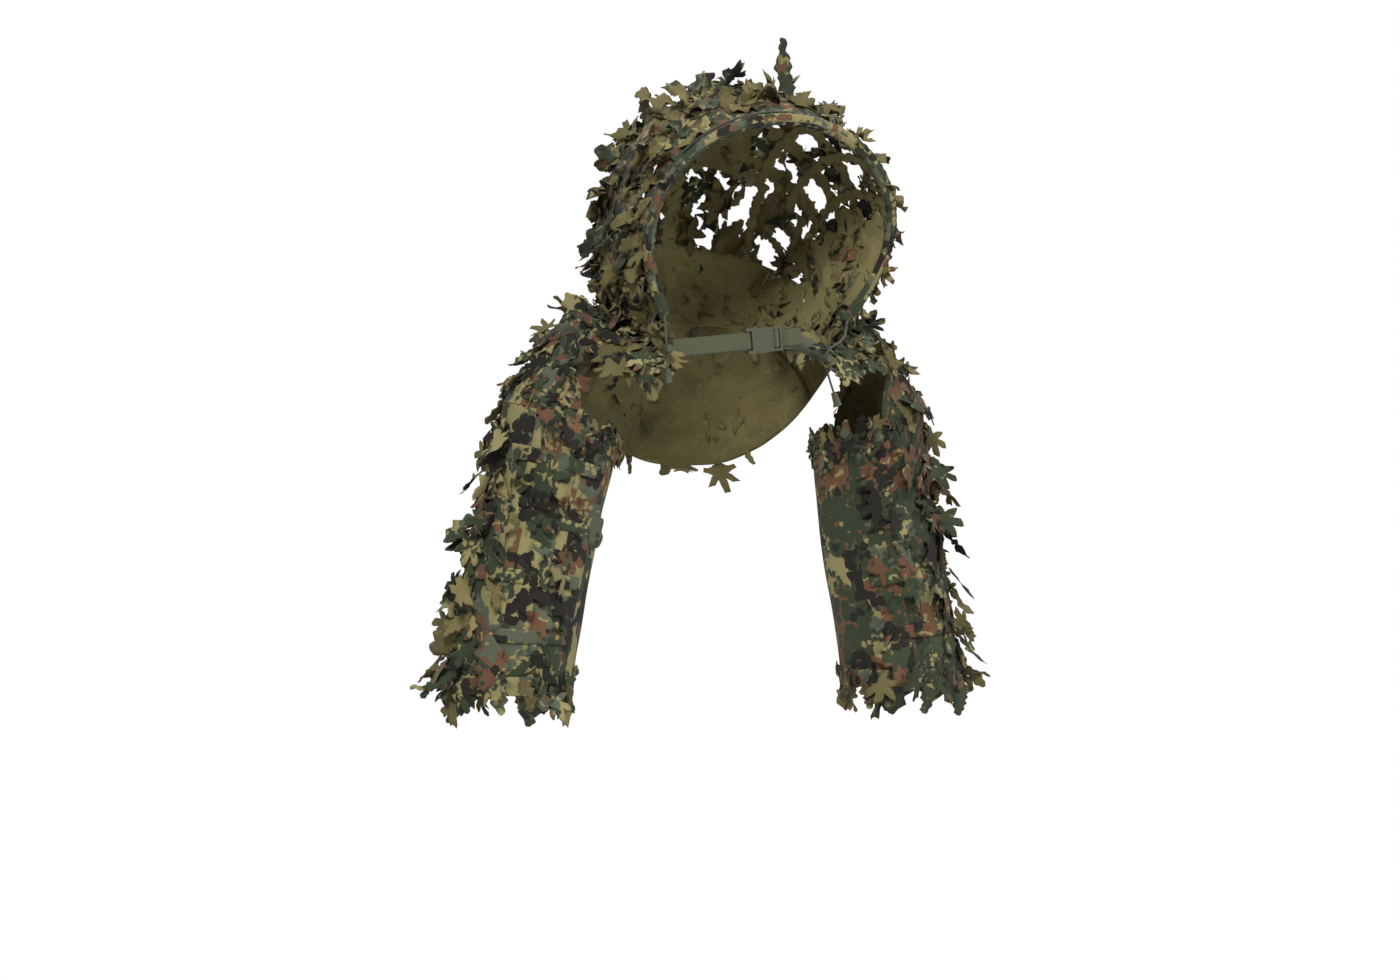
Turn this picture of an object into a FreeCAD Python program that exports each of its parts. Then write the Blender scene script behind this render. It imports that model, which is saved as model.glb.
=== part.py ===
import FreeCAD, Part
import math
import os
import Sketcher

# A hooded, sleeved leaf-camouflage garment. Millimetres, +Z up, the wearer faces -Y,
# the wearer's right is -X. The origin is the point between the shoulders where the
# garment's weight rests on the wearer.

V = FreeCAD.Vector
doc = FreeCAD.newDocument("leaf_hood")

# ---------------------------------------------------------------- driving dimensions
SIZES = {
    "cloth_thick": 1.6,
    "tape_thick": 1.2,
    "seam_gap": 0.5,
    "corner_half": 130,
    "corner_front": 98,
    "corner_down": 15,
    "brim_bulge": 4,
    "hood_turn": 10,
    "armhole_radius": 75,
    "armhole_side": 222,
    "sleeve_top_half": 80,
    "sleeve_end_half": 87,
    "sleeve_drop": 511,
    "leaf_long": 50,
    "web_wide": 25,
    "web_thick": 1.5,
    "buckle_wide": 35,
    "buckle_thick": 10,
    "buckle_wall": 2.0,
    "female_long": 34,
    "male_long": 19,
    "prong_long": 21,
    "prong_thick": 2.6,
    "prong_high": 5,
    "keeper_wide": 31,
    "lock_radius": 6.5,
    "lock_long": 20,
    "plunger_radius": 4.6,
    "lock_wall": 1.4,
    "cord_width": 3,
    "bell_radius": 5.5,
    "bell_long": 19,
}
sheet = doc.addObject("Spreadsheet::Sheet", "sizes")
for row, (name, value) in enumerate(SIZES.items(), 1):
    sheet.set(f"A{row}", name)
    sheet.set(f"B{row}", str(value))
    sheet.setAlias(f"B{row}", name)
doc.recompute()


def size(name):
    return float(getattr(sheet, name))


parts = []


def keep(label, shape):
    """One sub-part whose shape is set from the functions below."""
    piece = doc.addObject("Part::Feature", label)
    piece.Label = label
    piece.Shape = shape
    parts.append(piece)
    return piece


# ---------------------------------------------------------------- curved cloth
def through(stations, where):
    """A smooth run through evenly spaced stations; where goes from 0 to 1."""
    last = len(stations) - 1
    first = min(int(where * last), last - 1)
    step = where * last - first
    a = stations[max(first - 1, 0)]
    b = stations[first]
    c = stations[first + 1]
    d = stations[min(first + 2, last)]
    slope_b = (c - a) * 0.5
    slope_c = (d - b) * 0.5
    return (
        b * (2 * step**3 - 3 * step**2 + 1)
        + slope_b * (step**3 - 2 * step**2 + step)
        + c * (3 * step**2 - 2 * step**3)
        + slope_c * (step**3 - step**2)
    )


def outward(surface, u, v):
    tiny = 1e-3
    along = surface(u + tiny, v) - surface(u - tiny, v)
    back = surface(u, v + tiny) - surface(u, v - tiny)
    return along.cross(back).normalize()


def cloth(surface, box, thick=None, lift=0.0, points=(9, 9)):
    """A closed thin solid on one patch of a surface: box is (u0, u1, v0, v1)."""
    thick = thick or size("cloth_thick")
    u0, u1, v0, v1 = box
    skins = []
    for off in (lift, lift + thick):
        grid = []
        for i in range(points[0]):
            u = u0 + (u1 - u0) * i / (points[0] - 1)
            row = []
            for j in range(points[1]):
                v = v0 + (v1 - v0) * j / (points[1] - 1)
                row.append(surface(u, v) + outward(surface, u, v) * off)
            grid.append(row)
        skin = Part.BSplineSurface()
        skin.interpolate(grid)
        skins.append(skin)
    faces = [skin.toShape() for skin in skins]
    for low, high in zip(borders(skins[0]), borders(skins[1])):
        faces.append(Part.makeRuledSurface(low, high, 1))
    shell = Part.Shell(faces)
    shell.sewShape()
    solid = Part.Solid(shell)
    if solid.Volume < 0:
        solid.reverse()
    return solid


def borders(skin):
    u0, u1, v0, v1 = skin.bounds()
    return [skin.uIso(u0).toShape(), skin.uIso(u1).toShape(), skin.vIso(v0).toShape(), skin.vIso(v1).toShape()]


def tube(points, radius, hole=0.0):
    """A round tube along straight runs joined by tangent arcs."""
    edges, radii = [], []
    start = points[0]
    for before, corner, after in zip(points, points[1:], points[2:]):
        way_in = (corner - before).normalize()
        way_out = (after - corner).normalize()
        turn = way_in.getAngle(way_out)
        trim = 0.45 * min((corner - before).Length, (after - corner).Length)
        radii.append(trim / math.tan(turn / 2))
        enter = corner - way_in * trim
        leave = corner + way_out * trim
        inward = (way_out - way_in).normalize()
        middle = corner + inward * (radii[-1] / math.cos(turn / 2) - radii[-1])
        edges.append(Part.LineSegment(start, enter).toShape())
        edges.append(Part.Arc(enter, middle, leave).toShape())
        start = leave
    edges.append(Part.LineSegment(start, points[-1]).toShape())
    path = Part.Wire(edges)
    along = (points[1] - points[0]).normalize()
    ring = Part.Wire(Part.makeCircle(radius, points[0], along))
    solid = path.makePipeShell([ring], True, False)
    length = path.Length
    print("  tube length %.1f, least bend %.1f, volume ratio %.3f" % (
        length, min(radii), solid.Volume / (math.pi * radius**2 * length)))
    if hole:
        inner = path.makePipeShell([Part.Wire(Part.makeCircle(hole, points[0], along))], True, False)
        solid = solid.cut(inner)
    return solid


# ---------------------------------------------------------------- the garment's surfaces
def turned(point):
    """The head, and the hood on it, look a little to the wearer's left."""
    angle = math.radians(size("hood_turn"))
    return V(
        point.x * math.cos(angle) - point.y * math.sin(angle),
        point.x * math.sin(angle) + point.y * math.cos(angle),
        point.z,
    )


# Every hood arch starts and ends at the two front corners, like a pram hood. Each station
# is (lean back from upright in degrees, reach from the corners' line, half width).
ARCHES = [V(-19.5, 300, 190), V(14, 342, 184), V(43, 312, 171), V(68, 248, 155), V(85, 200, 137)]
WIDEST = 0.47
SIDE_SHARE = 0.35


def hood(across, back):
    """across: 0 right corner, 0.5 over the head, 1 left corner; back: 0 brim, 1 neck seam."""
    lean, reach, half = through(ARCHES, back)
    corner = size("corner_half")
    side = -1 if across < 0.5 else 1
    climb = 1 - abs(2 * across - 1)
    if climb < SIDE_SHARE:
        rise = math.sin(math.pi / 2 * climb / SIDE_SHARE)
        height = WIDEST * climb / SIDE_SHARE
        x = corner + (half - corner) * rise
    else:
        sweep = math.pi / 2 * (climb - SIDE_SHARE) / (1 - SIDE_SHARE)
        height = WIDEST + (1 - WIDEST) * math.sin(sweep)
        x = half * math.cos(sweep)
    lean = math.radians(lean)
    bulge = size("brim_bulge") * (1 - back) ** 2 * math.sin(math.pi * min(height, 1))
    return turned(V(
        side * x,
        -size("corner_front") + reach * height * math.sin(lean) - bulge,
        -size("corner_down") + reach * height * math.cos(lean),
    ))


def mirrored(point):
    return V(-point.x, point.y, point.z)


YOKE_SIDE = [
    V(-168, -108, -78),
    V(-214, -62, -40),
    V(-222, 4, 0),
    V(-214, 62, -36),
    V(-158, 108, -130),
    V(-80, 126, -184),
]
YOKE_EDGE = (
    [V(-112, -135, -64)]
    + YOKE_SIDE
    + [V(0, 130, -196)]
    + [mirrored(point) for point in reversed(YOKE_SIDE)]
    + [V(120, -114, -64)]
)
NECK_DROP = 5.0


def yoke(around, out):
    """around: 0 right front corner, 0.5 centre back, 1 left front; out: 0 neck, 1 outer edge."""
    neck = hood(0.02 + 0.96 * around, 1) - V(0, 0, NECK_DROP)
    edge = through(YOKE_EDGE, around)
    crest = 6.75 * out**2 * (1 - out)
    over_shoulder = math.sin(2 * math.pi * min(around, 1 - around)) ** 2
    return neck * (1 - out) + edge * out + V(0, 0, (6 + 20 * over_shoulder) * crest)


SLEEVE_CENTRES = [V(229, -1, 0), V(250, 20, 0), V(274, 31, 0), V(294, 36, 0)]


def sleeve_top(around):
    """Height of the sleeve's upper edge: low in the armpit, high at the outside."""
    return -138 - 26 * math.cos(2 * math.pi * around)


def sleeve(side):
    def surface(around, down):
        """around: 0 beside the body, 0.25 back, 0.5 outside, 0.75 front; down: 0 top, 1 cuff."""
        centre = through(SLEEVE_CENTRES, down)
        wide = size("sleeve_top_half") + (size("sleeve_end_half") - size("sleeve_top_half")) * down
        deep = 0.86 * wide
        angle = 2 * math.pi * around
        top = sleeve_top(around)
        point = V(
            centre.x - wide * math.cos(angle),
            centre.y + deep * math.sin(angle),
            top + (-size("sleeve_drop") - top) * down,
        )
        return point if side > 0 else mirrored(point)
    return surface


HEAD_FROM = 0.20
HEAD_TO = 0.76


def sleeve_head(side):
    def surface(along, down):
        """From an arc of the armhole ring, back to front, out and down to the sleeve."""
        ring_angle = math.radians(90 - 152 * along)
        radius = size("armhole_radius")
        ring = V(
            size("armhole_side") + 2,
            radius * math.sin(ring_angle),
            -radius + radius * math.cos(ring_angle),
        )
        foot = sleeve(1)(HEAD_FROM + (HEAD_TO - HEAD_FROM) * along, 0)
        reach = (foot - ring).Length
        first = ring + V(0.13 * reach, 0, -0.08 * reach)
        second = foot + V(-0.11 * reach, 0, 0.22 * reach)
        left = 1 - down
        point = (
            ring * left**3 + first * (3 * left**2 * down)
            + second * (3 * left * down**2) + foot * down**3
        )
        return point if side > 0 else mirrored(point)
    return surface


def sided(solid_surface, side, box, **more):
    """The right sleeve's pieces are the left one's mirrored."""
    shape = cloth(solid_surface(1), box, **more)
    if side < 0:
        shape = shape.mirror(V(0, 0, 0), V(1, 0, 0))
    return shape


SIDES = {"right": -1, "left": 1}
gap = 0.002

# ---------------------------------------------------------------- hood cloth
FRONT_BACK = 0.44
REAR_FROM = 0.47
SIDE_TOP = 0.20
SIDE_FROM = 0.115
HOOD_END = 0.95


def hood_cloth(box, **more):
    return cloth(hood, box, **more)


keep("hood_side_right", hood_cloth((0.05, SIDE_TOP, SIDE_FROM, HOOD_END), points=(9, 15)))
keep("hood_side_left", hood_cloth((1 - SIDE_TOP, 0.95, SIDE_FROM, HOOD_END), points=(9, 15)))
keep("hood_back", hood_cloth((SIDE_TOP + gap, 1 - SIDE_TOP - gap, 0.66, HOOD_END), points=(19, 9)))
keep("hood_crown", hood_cloth((0.40, 0.60, 0.05, FRONT_BACK), points=(9, 11)))
keep("rear_crown_tape", hood_cloth((0.485, 0.515, REAR_FROM, 0.655), points=(5, 7)))

TAPE_LIFT = size("cloth_thick") + size("seam_gap")
tape = size("tape_thick")


def strips(surface, boxes, lift=TAPE_LIFT, points=(5, 15)):
    return Part.makeCompound([cloth(surface, box, tape, lift, points) for box in boxes])


net_arches = []
for back in (0.11, 0.20, 0.29, 0.38):
    net_arches.append((SIDE_TOP + gap, 1 - SIDE_TOP - gap, back, back + 0.035))
keep("hood_arch_tapes", strips(hood, net_arches, points=(21, 5)))
net_lines = []
for across in (0.22, 0.285, 0.35, 0.635, 0.70, 0.765):
    net_lines.append((across, across + 0.015, 0.05, FRONT_BACK))
keep("hood_length_tapes", strips(hood, net_lines, lift=0.0))
rear_lines = []
for across in (0.25, 0.34, 0.645, 0.735):
    rear_lines.append((across, across + 0.015, REAR_FROM, 0.655))
keep("rear_net_tapes", strips(hood, rear_lines, points=(5, 7)))

# The neck seam's binding lies on the yoke's inner edge.
keep("neck_binding", cloth(yoke, (0.01, 0.99, 0.01, 0.09), tape, TAPE_LIFT + 1, (31, 5)))

# ---------------------------------------------------------------- brim channel and drawcord
BRIM_POINTS = 19
brim_line = []
for i in range(BRIM_POINTS):
    across = 0.03 + 0.94 * i / (BRIM_POINTS - 1)
    brim_line.append(hood(across, 0.0) + V(0, -1, 0))
cord_radius = size("cord_width") / 2
keep("brim_channel", tube(brim_line, 5.5, cord_radius + 1.0))
keep("brim_drawcord", tube(brim_line, cord_radius))

# ---------------------------------------------------------------- yoke cloth
FLAP_END = 0.155
BACK_FROM = 0.335
yoke_sections = {
    "front_flap_right": (0.0, FLAP_END - gap),
    "shoulder_panel_right": (FLAP_END, BACK_FROM - gap),
    "back_panel": (BACK_FROM, 1 - BACK_FROM),
    "shoulder_panel_left": (1 - BACK_FROM + gap, 1 - FLAP_END),
    "front_flap_left": (1 - FLAP_END + gap, 1.0),
}
for label, (start, end) in yoke_sections.items():
    count = 9 if "back" not in label else 17
    keep(label, cloth(yoke, (start, end, 0.0, 1.0), points=(count, 9)))
back_rows = []
for out in (0.30, 0.52, 0.74, 0.93):
    back_rows.append((BACK_FROM + 0.01, 1 - BACK_FROM - 0.01, out, out + 0.055))
keep("back_tapes", strips(yoke, back_rows, points=(17, 5)))
shoulder_rows = []
for start in (FLAP_END + 0.012, 1 - BACK_FROM + 0.014):
    for out in (0.32, 0.62):
        shoulder_rows.append((start, start + 0.154, out, out + 0.09))
keep("shoulder_tapes", strips(yoke, shoulder_rows, lift=TAPE_LIFT + 1, points=(9, 5)))

# ---------------------------------------------------------------- sleeves
SEAM_FRONT = 0.13
SEAM_BACK = 0.87
HEM_FROM = 0.935
for name, side in SIDES.items():
    tag = f"sleeve_{name}"
    keep(f"{tag}_outer", sided(sleeve, side, (SEAM_FRONT + gap, SEAM_BACK - gap, 0.0, HEM_FROM - gap), points=(19, 9)))
    keep(f"{tag}_inner", sided(sleeve, side, (SEAM_BACK + gap, 1 + SEAM_FRONT - gap, 0.0, HEM_FROM - gap)))
    keep(f"{tag}_head", sided(sleeve_head, side, (0.0, 1.0, 0.0, 0.985), points=(13, 9)))
    hem = sided(sleeve, side, (-0.02, 0.975, HEM_FROM, 1.0), thick=1.6, points=(25, 5))
    keep(f"{tag}_cuff_hem", hem)
    band = sided(sleeve, side, (-0.02, 0.975, 0.955, 0.985), thick=2.0, lift=-2.6, points=(25, 5))
    keep(f"{tag}_cuff_elastic", band)
    upright = []
    for around in (0.24, 0.36, 0.50, 0.64, 0.76):
        upright.append(sided(sleeve, side, (around, around + 0.028, 0.03, 0.92), thick=tape,
                             lift=TAPE_LIFT, points=(5, 9)))
    keep(f"{tag}_long_tapes", Part.makeCompound(upright))
    level = []
    for down in (0.13, 0.34, 0.55, 0.76):
        level.append(sided(sleeve, side, (0.15, 0.85, down, down + 0.05), thick=tape,
                           lift=TAPE_LIFT + tape + size("seam_gap"), points=(19, 5)))
    keep(f"{tag}_cross_tapes", Part.makeCompound(level))


# ---------------------------------------------------------------- leaves
LEAF_THICK = 1.0
LOBES = 5


def leaf(surface, u, v, turn, tilt, lift, long=None):
    """A five-lobed leaf plate that starts at its stem on the surface and tips outward."""
    long = long or size("leaf_long")
    normal = outward(surface, u, v)
    tiny = 1e-3
    along = (surface(u + tiny, v) - surface(u - tiny, v)).normalize()
    down = normal.cross(along)
    heading = along * math.cos(turn) + down * math.sin(turn)
    heading = heading * math.cos(tilt) + normal * math.sin(tilt)
    across = heading.cross(normal).normalize()
    face_normal = across.cross(heading).normalize()
    stem = surface(u, v) + normal * lift
    middle = stem + heading * long * 0.5
    corners = []
    for k in range(2 * LOBES):
        angle = math.pi * k / LOBES
        radius = long * (0.5 if k % 2 == 0 else 0.27)
        corners.append(middle + heading * radius * math.cos(angle) + across * radius * math.sin(angle))
    outline = Part.makePolygon(corners + corners[:1])
    return Part.Face(outline).extrude(face_normal * LEAF_THICK)


def leaves(surface, spots, lift=8.0, long=None):
    """spots: (u, v, turn in degrees, tilt in degrees)."""
    shapes = [leaf(surface, u, v, math.radians(turn), math.radians(tilt), lift, long)
              for u, v, turn, tilt in spots]
    return Part.makeCompound(shapes)


UP_TILT = 34
TALL_LEAF = 88
hood_spots = []
for row in range(3):
    for column in range(9):
        across = 0.20 + 0.075 * column
        hood_spots.append((across, 0.09 + 0.13 * row, 180 if across < 0.49 else 0, UP_TILT))
tall = leaf(hood, 0.555, 0.14, 0, math.radians(82), 8.0, TALL_LEAF)
keep("hood_leaves", Part.makeCompound([leaves(hood, hood_spots), tall]))
rear_spots = []
for k in range(9):
    across = 0.22 + 0.07 * k
    rear_spots.append((across, 0.50 + 0.12 * (k % 3), 20 if across < 0.5 else 160, 28))
keep("rear_hood_leaves", leaves(hood, rear_spots, long=42))
yoke_spots = []
for around, out in ((0.20, 0.6), (0.26, 0.6), (0.31, 0.5), (0.37, 0.45), (0.43, 0.75), (0.46, 0.35)):
    yoke_spots.append((around, out, 20, 24))
    yoke_spots.append((1 - around, out, 160, 24))
yoke_spots.append((0.5, 0.6, 90, 24))
keep("yoke_leaves", leaves(yoke, yoke_spots, lift=9.0, long=38))
for name, side in SIDES.items():
    spots = []
    for row in range(6):
        for column, around in enumerate((0.27, 0.41, 0.55, 0.69)):
            spots.append((around + 0.01, 0.07 + 0.155 * row, 90 + 40 * (column % 2), 24))
    shape = leaves(sleeve(1), spots, lift=9.0, long=44)
    if side < 0:
        shape = shape.mirror(V(0, 0, 0), V(1, 0, 0))
    keep(f"sleeve_{name}_leaves", shape)
    spots = [(0.06 + 0.1 * k, 0.965, 90, 10) for k in range(10)]
    shape = leaves(sleeve(1), spots, lift=5.0, long=64)
    if side < 0:
        shape = shape.mirror(V(0, 0, 0), V(1, 0, 0))
    keep(f"sleeve_{name}_cuff_leaves", shape)


# ---------------------------------------------------------------- PartDesign helpers
def new_body(label):
    body = doc.addObject("PartDesign::Body", label)
    body.Label = label
    parts.append(body)
    return body


def sketch(body, name, role, offset="0"):
    plane = next(feature for feature in body.Origin.OriginFeatures if feature.Role == role)
    drawn = body.newObject("Sketcher::SketchObject", name)
    drawn.AttachmentSupport = [(plane, "")]
    drawn.MapMode = "FlatFace"
    drawn.setExpression(".AttachmentOffset.Base.z", offset)
    return drawn


def rectangle(drawn, left, right, low, high):
    """Four lines held by the sheet's values: each argument is an expression."""
    corners = [V(-1, -1, 0), V(1, -1, 0), V(1, 1, 0), V(-1, 1, 0)]
    first = drawn.GeometryCount
    for start, end in zip(corners, corners[1:] + corners[:1]):
        drawn.addGeometry(Part.LineSegment(start, end), False)
    for k in range(4):
        drawn.addConstraint(Sketcher.Constraint("Coincident", first + k, 2, first + (k + 1) % 4, 1))
    for k in (0, 2):
        drawn.addConstraint(Sketcher.Constraint("Horizontal", first + k))
        drawn.addConstraint(Sketcher.Constraint("Vertical", first + k + 1))
    places = (("DistanceX", 0, -1.0, left), ("DistanceX", 2, 1.0, right),
              ("DistanceY", 0, -1.0, low), ("DistanceY", 2, 1.0, high))
    for kind, line, value, expression in places:
        index = drawn.addConstraint(Sketcher.Constraint(kind, -1, 1, first + line, 1, value))
        drawn.setExpression(f"Constraints[{index}]", expression)


def circle(drawn, radius, x="0", y="0"):
    index = drawn.addGeometry(Part.Circle(V(0, 0, 0), V(0, 0, 1), 1.0), False)
    held = drawn.addConstraint(Sketcher.Constraint("Radius", index, 1.0))
    drawn.setExpression(f"Constraints[{held}]", radius)
    if x == "0" and y == "0":
        drawn.addConstraint(Sketcher.Constraint("Coincident", index, 3, -1, 1))
        return
    for kind, expression in (("DistanceX", x), ("DistanceY", y)):
        held = drawn.addConstraint(Sketcher.Constraint(kind, -1, 1, index, 3, 1.0))
        drawn.setExpression(f"Constraints[{held}]", expression)


def pad(body, drawn, length):
    added = body.newObject("PartDesign::Pad", drawn.Name + "_pad")
    added.Profile = drawn
    added.setExpression("Length", length)
    doc.recompute()
    return added


def pocket(body, drawn, length):
    """A blind cut against the sketch's normal; it must take something away."""
    before = body.Shape.Volume
    cut = body.newObject("PartDesign::Pocket", drawn.Name + "_pocket")
    cut.Profile = drawn
    cut.setExpression("Length", length)
    doc.recompute()
    if body.Shape.Volume > before - 0.01:
        raise RuntimeError(f"{drawn.Name} cuts nothing")
    return cut


def round_edges(body, base, radius, direction):
    """Rounds every straight edge of the base that runs along a direction."""
    names = []
    for number, edge in enumerate(base.Shape.Edges, 1):
        if edge.Curve.TypeId == "Part::GeomLine" and edge.Curve.Direction.cross(direction).Length < 1e-6:
            names.append(f"Edge{number}")
    rounded = body.newObject("PartDesign::Fillet", base.Name + "_round")
    rounded.Base = (base, names)
    rounded.Radius = radius
    doc.recompute()


# ---------------------------------------------------------------- chest strap and buckle
# The buckle's own frame: x along the strap to the wearer's left with 0 at the socket's
# mouth, y up, z away from the chest.
STRAP_TURN = math.radians(3.5)
STRAP_RISE = math.radians(6)
strap_x = V(
    math.cos(STRAP_TURN) * math.cos(STRAP_RISE),
    math.sin(STRAP_TURN) * math.cos(STRAP_RISE),
    math.sin(STRAP_RISE),
)
strap_z = V(math.sin(STRAP_TURN), -math.cos(STRAP_TURN), 0)
strap_y = strap_z.cross(strap_x)
MOUTH = V(31.5, -118, -25)
on_strap = FreeCAD.Placement(MOUTH, FreeCAD.Rotation(strap_x, strap_y, strap_z, "XZY"))


def strap_point(x, y, z):
    return on_strap.multVec(V(x, y, z))


half_thick = "sizes.buckle_thick / 2"
half_wide = "sizes.buckle_wide / 2"
wall = "sizes.buckle_wall"
web_half = "(sizes.web_wide / 2 + 0.6)"
BAR = 2.5

female = new_body("buckle_socket")
outline = sketch(female, "socket_outline", "XY_Plane", f"-{half_thick}")
rectangle(outline, "-sizes.female_long", "0", f"-{half_wide}", half_wide)
shell = pad(female, outline, "sizes.buckle_thick")
round_edges(female, shell, 3, V(0, 0, 1))
mouth = sketch(female, "socket_mouth", "YZ_Plane")
rectangle(mouth, f"-{half_wide} + {wall}", f"{half_wide} - {wall}",
          f"-{half_thick} + {wall}", f"{half_thick} - {wall}")
pocket(female, mouth, "sizes.prong_long + 2")
for end, low in (("upper", f"{half_wide} + 1"), ("lower", f"-{half_wide} + {wall} + 1")):
    window = sketch(female, f"window_{end}", "XZ_Plane", f"-({low})")
    rectangle(window, "-sizes.prong_long", "-10", "-sizes.prong_high / 2 - 0.4", "sizes.prong_high / 2 + 0.4")
    cut = female.newObject("PartDesign::Pocket", f"window_{end}_pocket")
    cut.Profile = window
    cut.Reversed = True
    cut.setExpression("Length", f"{wall} + 2")
    before = female.Shape.Volume
    doc.recompute()
    if female.Shape.Volume > before - 1:
        raise RuntimeError("a side window cuts nothing")
slot = sketch(female, "web_slot", "XY_Plane", half_thick)
rectangle(slot, f"-sizes.female_long + {BAR}", f"-sizes.female_long + {BAR} + 5", f"-{web_half}", web_half)
pocket(female, slot, "sizes.buckle_thick")
for face, offset in (("front", half_thick), ("back", "-2")):
    thin = sketch(female, f"bar_{face}", "XY_Plane", offset)
    rectangle(thin, "-sizes.female_long - 1", f"-sizes.female_long + {BAR} + 0.1", f"-{web_half}", web_half)
    pocket(female, thin, f"{half_thick} - 2")

male = new_body("buckle_tongue")
outline = sketch(male, "tongue_outline", "XY_Plane", "-4")
rectangle(outline, "0.3", "0.3 + sizes.male_long", f"-{half_wide} + 1", f"{half_wide} - 1")
base = pad(male, outline, "8")
round_edges(male, base, 2, V(0, 0, 1))
guide = sketch(male, "tongue_guide", "XY_Plane", "-2.4")
rectangle(guide, "-sizes.prong_long + 4", "1", "-1.6", "1.6")
pad(male, guide, "4.8")
for number in (0, 1):
    ladder = sketch(male, f"ladder_{number}", "XY_Plane", "4")
    start = f"5.5 + {7 * number}"
    rectangle(ladder, start, f"{start} + 3.2", f"-{web_half}", web_half)
    pocket(male, ladder, "8")

PRONG_OUT = size("buckle_wide") / 2 - size("buckle_wall") - 0.6
for name, way in (("upper", 1), ("lower", -1)):
    prong = new_body(f"prong_{name}")
    outline = sketch(prong, f"prong_{name}_outline", "XY_Plane", "-sizes.prong_high / 2")
    tip = -size("prong_long") + 0.6
    inner = PRONG_OUT - size("prong_thick")
    points = [V(-0.1, inner, 0), V(-0.1, PRONG_OUT, 0), V(-11, PRONG_OUT, 0), V(-11, PRONG_OUT + 2.6, 0),
              V(-14, PRONG_OUT + 2.6, 0), V(tip, PRONG_OUT - 1.5, 0), V(tip, inner, 0)]
    points = [V(p.x, way * p.y, 0) for p in points]
    for start, end in zip(points, points[1:] + points[:1]):
        outline.addGeometry(Part.LineSegment(start, end), False)
    for k in range(len(points)):
        outline.addConstraint(Sketcher.Constraint("Coincident", k, 2, (k + 1) % len(points), 1))
    pad(prong, outline, "sizes.prong_high")

keeper = new_body("strap_keeper")
outline = sketch(keeper, "keeper_outline", "XY_Plane", "-3.5")
rectangle(outline, "23", "35", "-sizes.keeper_wide / 2", "sizes.keeper_wide / 2")
frame = pad(keeper, outline, "3")
round_edges(keeper, frame, 2, V(0, 0, 1))
for start in ("25", "30"):
    ladder = sketch(keeper, f"keeper_slot_{start}", "XY_Plane", "-0.5")
    rectangle(ladder, start, f"{start} + 3", f"-{web_half}", web_half)
    pocket(keeper, ladder, "3")

for piece in parts[-5:]:
    piece.Placement = on_strap

web = size("web_wide")
bar_x = -size("female_long") + BAR
loop_out = Part.makeBox(17, web, 7.6, V(bar_x - 14, -web / 2, -3.8))
loop_in = Part.makeBox(14, web + 2, 4.6, V(bar_x - 12.5, -web / 2 - 1, -2.3))
tail = Part.makeBox(99, web, 2 * size("web_thick"), V(bar_x - 111, -web / 2, -size("web_thick")))
strap = keep("strap_right", loop_out.cut(loop_in).fuse(tail).removeSplitter())
strap.Placement = on_strap


def left_web(along, up):
    start = strap_point(5, 0, -6.2)
    toward = strap_point(45, 0, -6.2)
    end = V(139, -60, -42)
    before = end + V(-40, -32, 8)
    left = 1 - along
    line = (start * left**3 + toward * (3 * left**2 * along)
            + before * (3 * left * along**2) + end * along**3)
    return line + strap_y * (web * (up - 0.5))


keep("strap_left", cloth(left_web, (0, 1, 0, 1), size("web_thick"), 0.0, (11, 3)))

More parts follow.
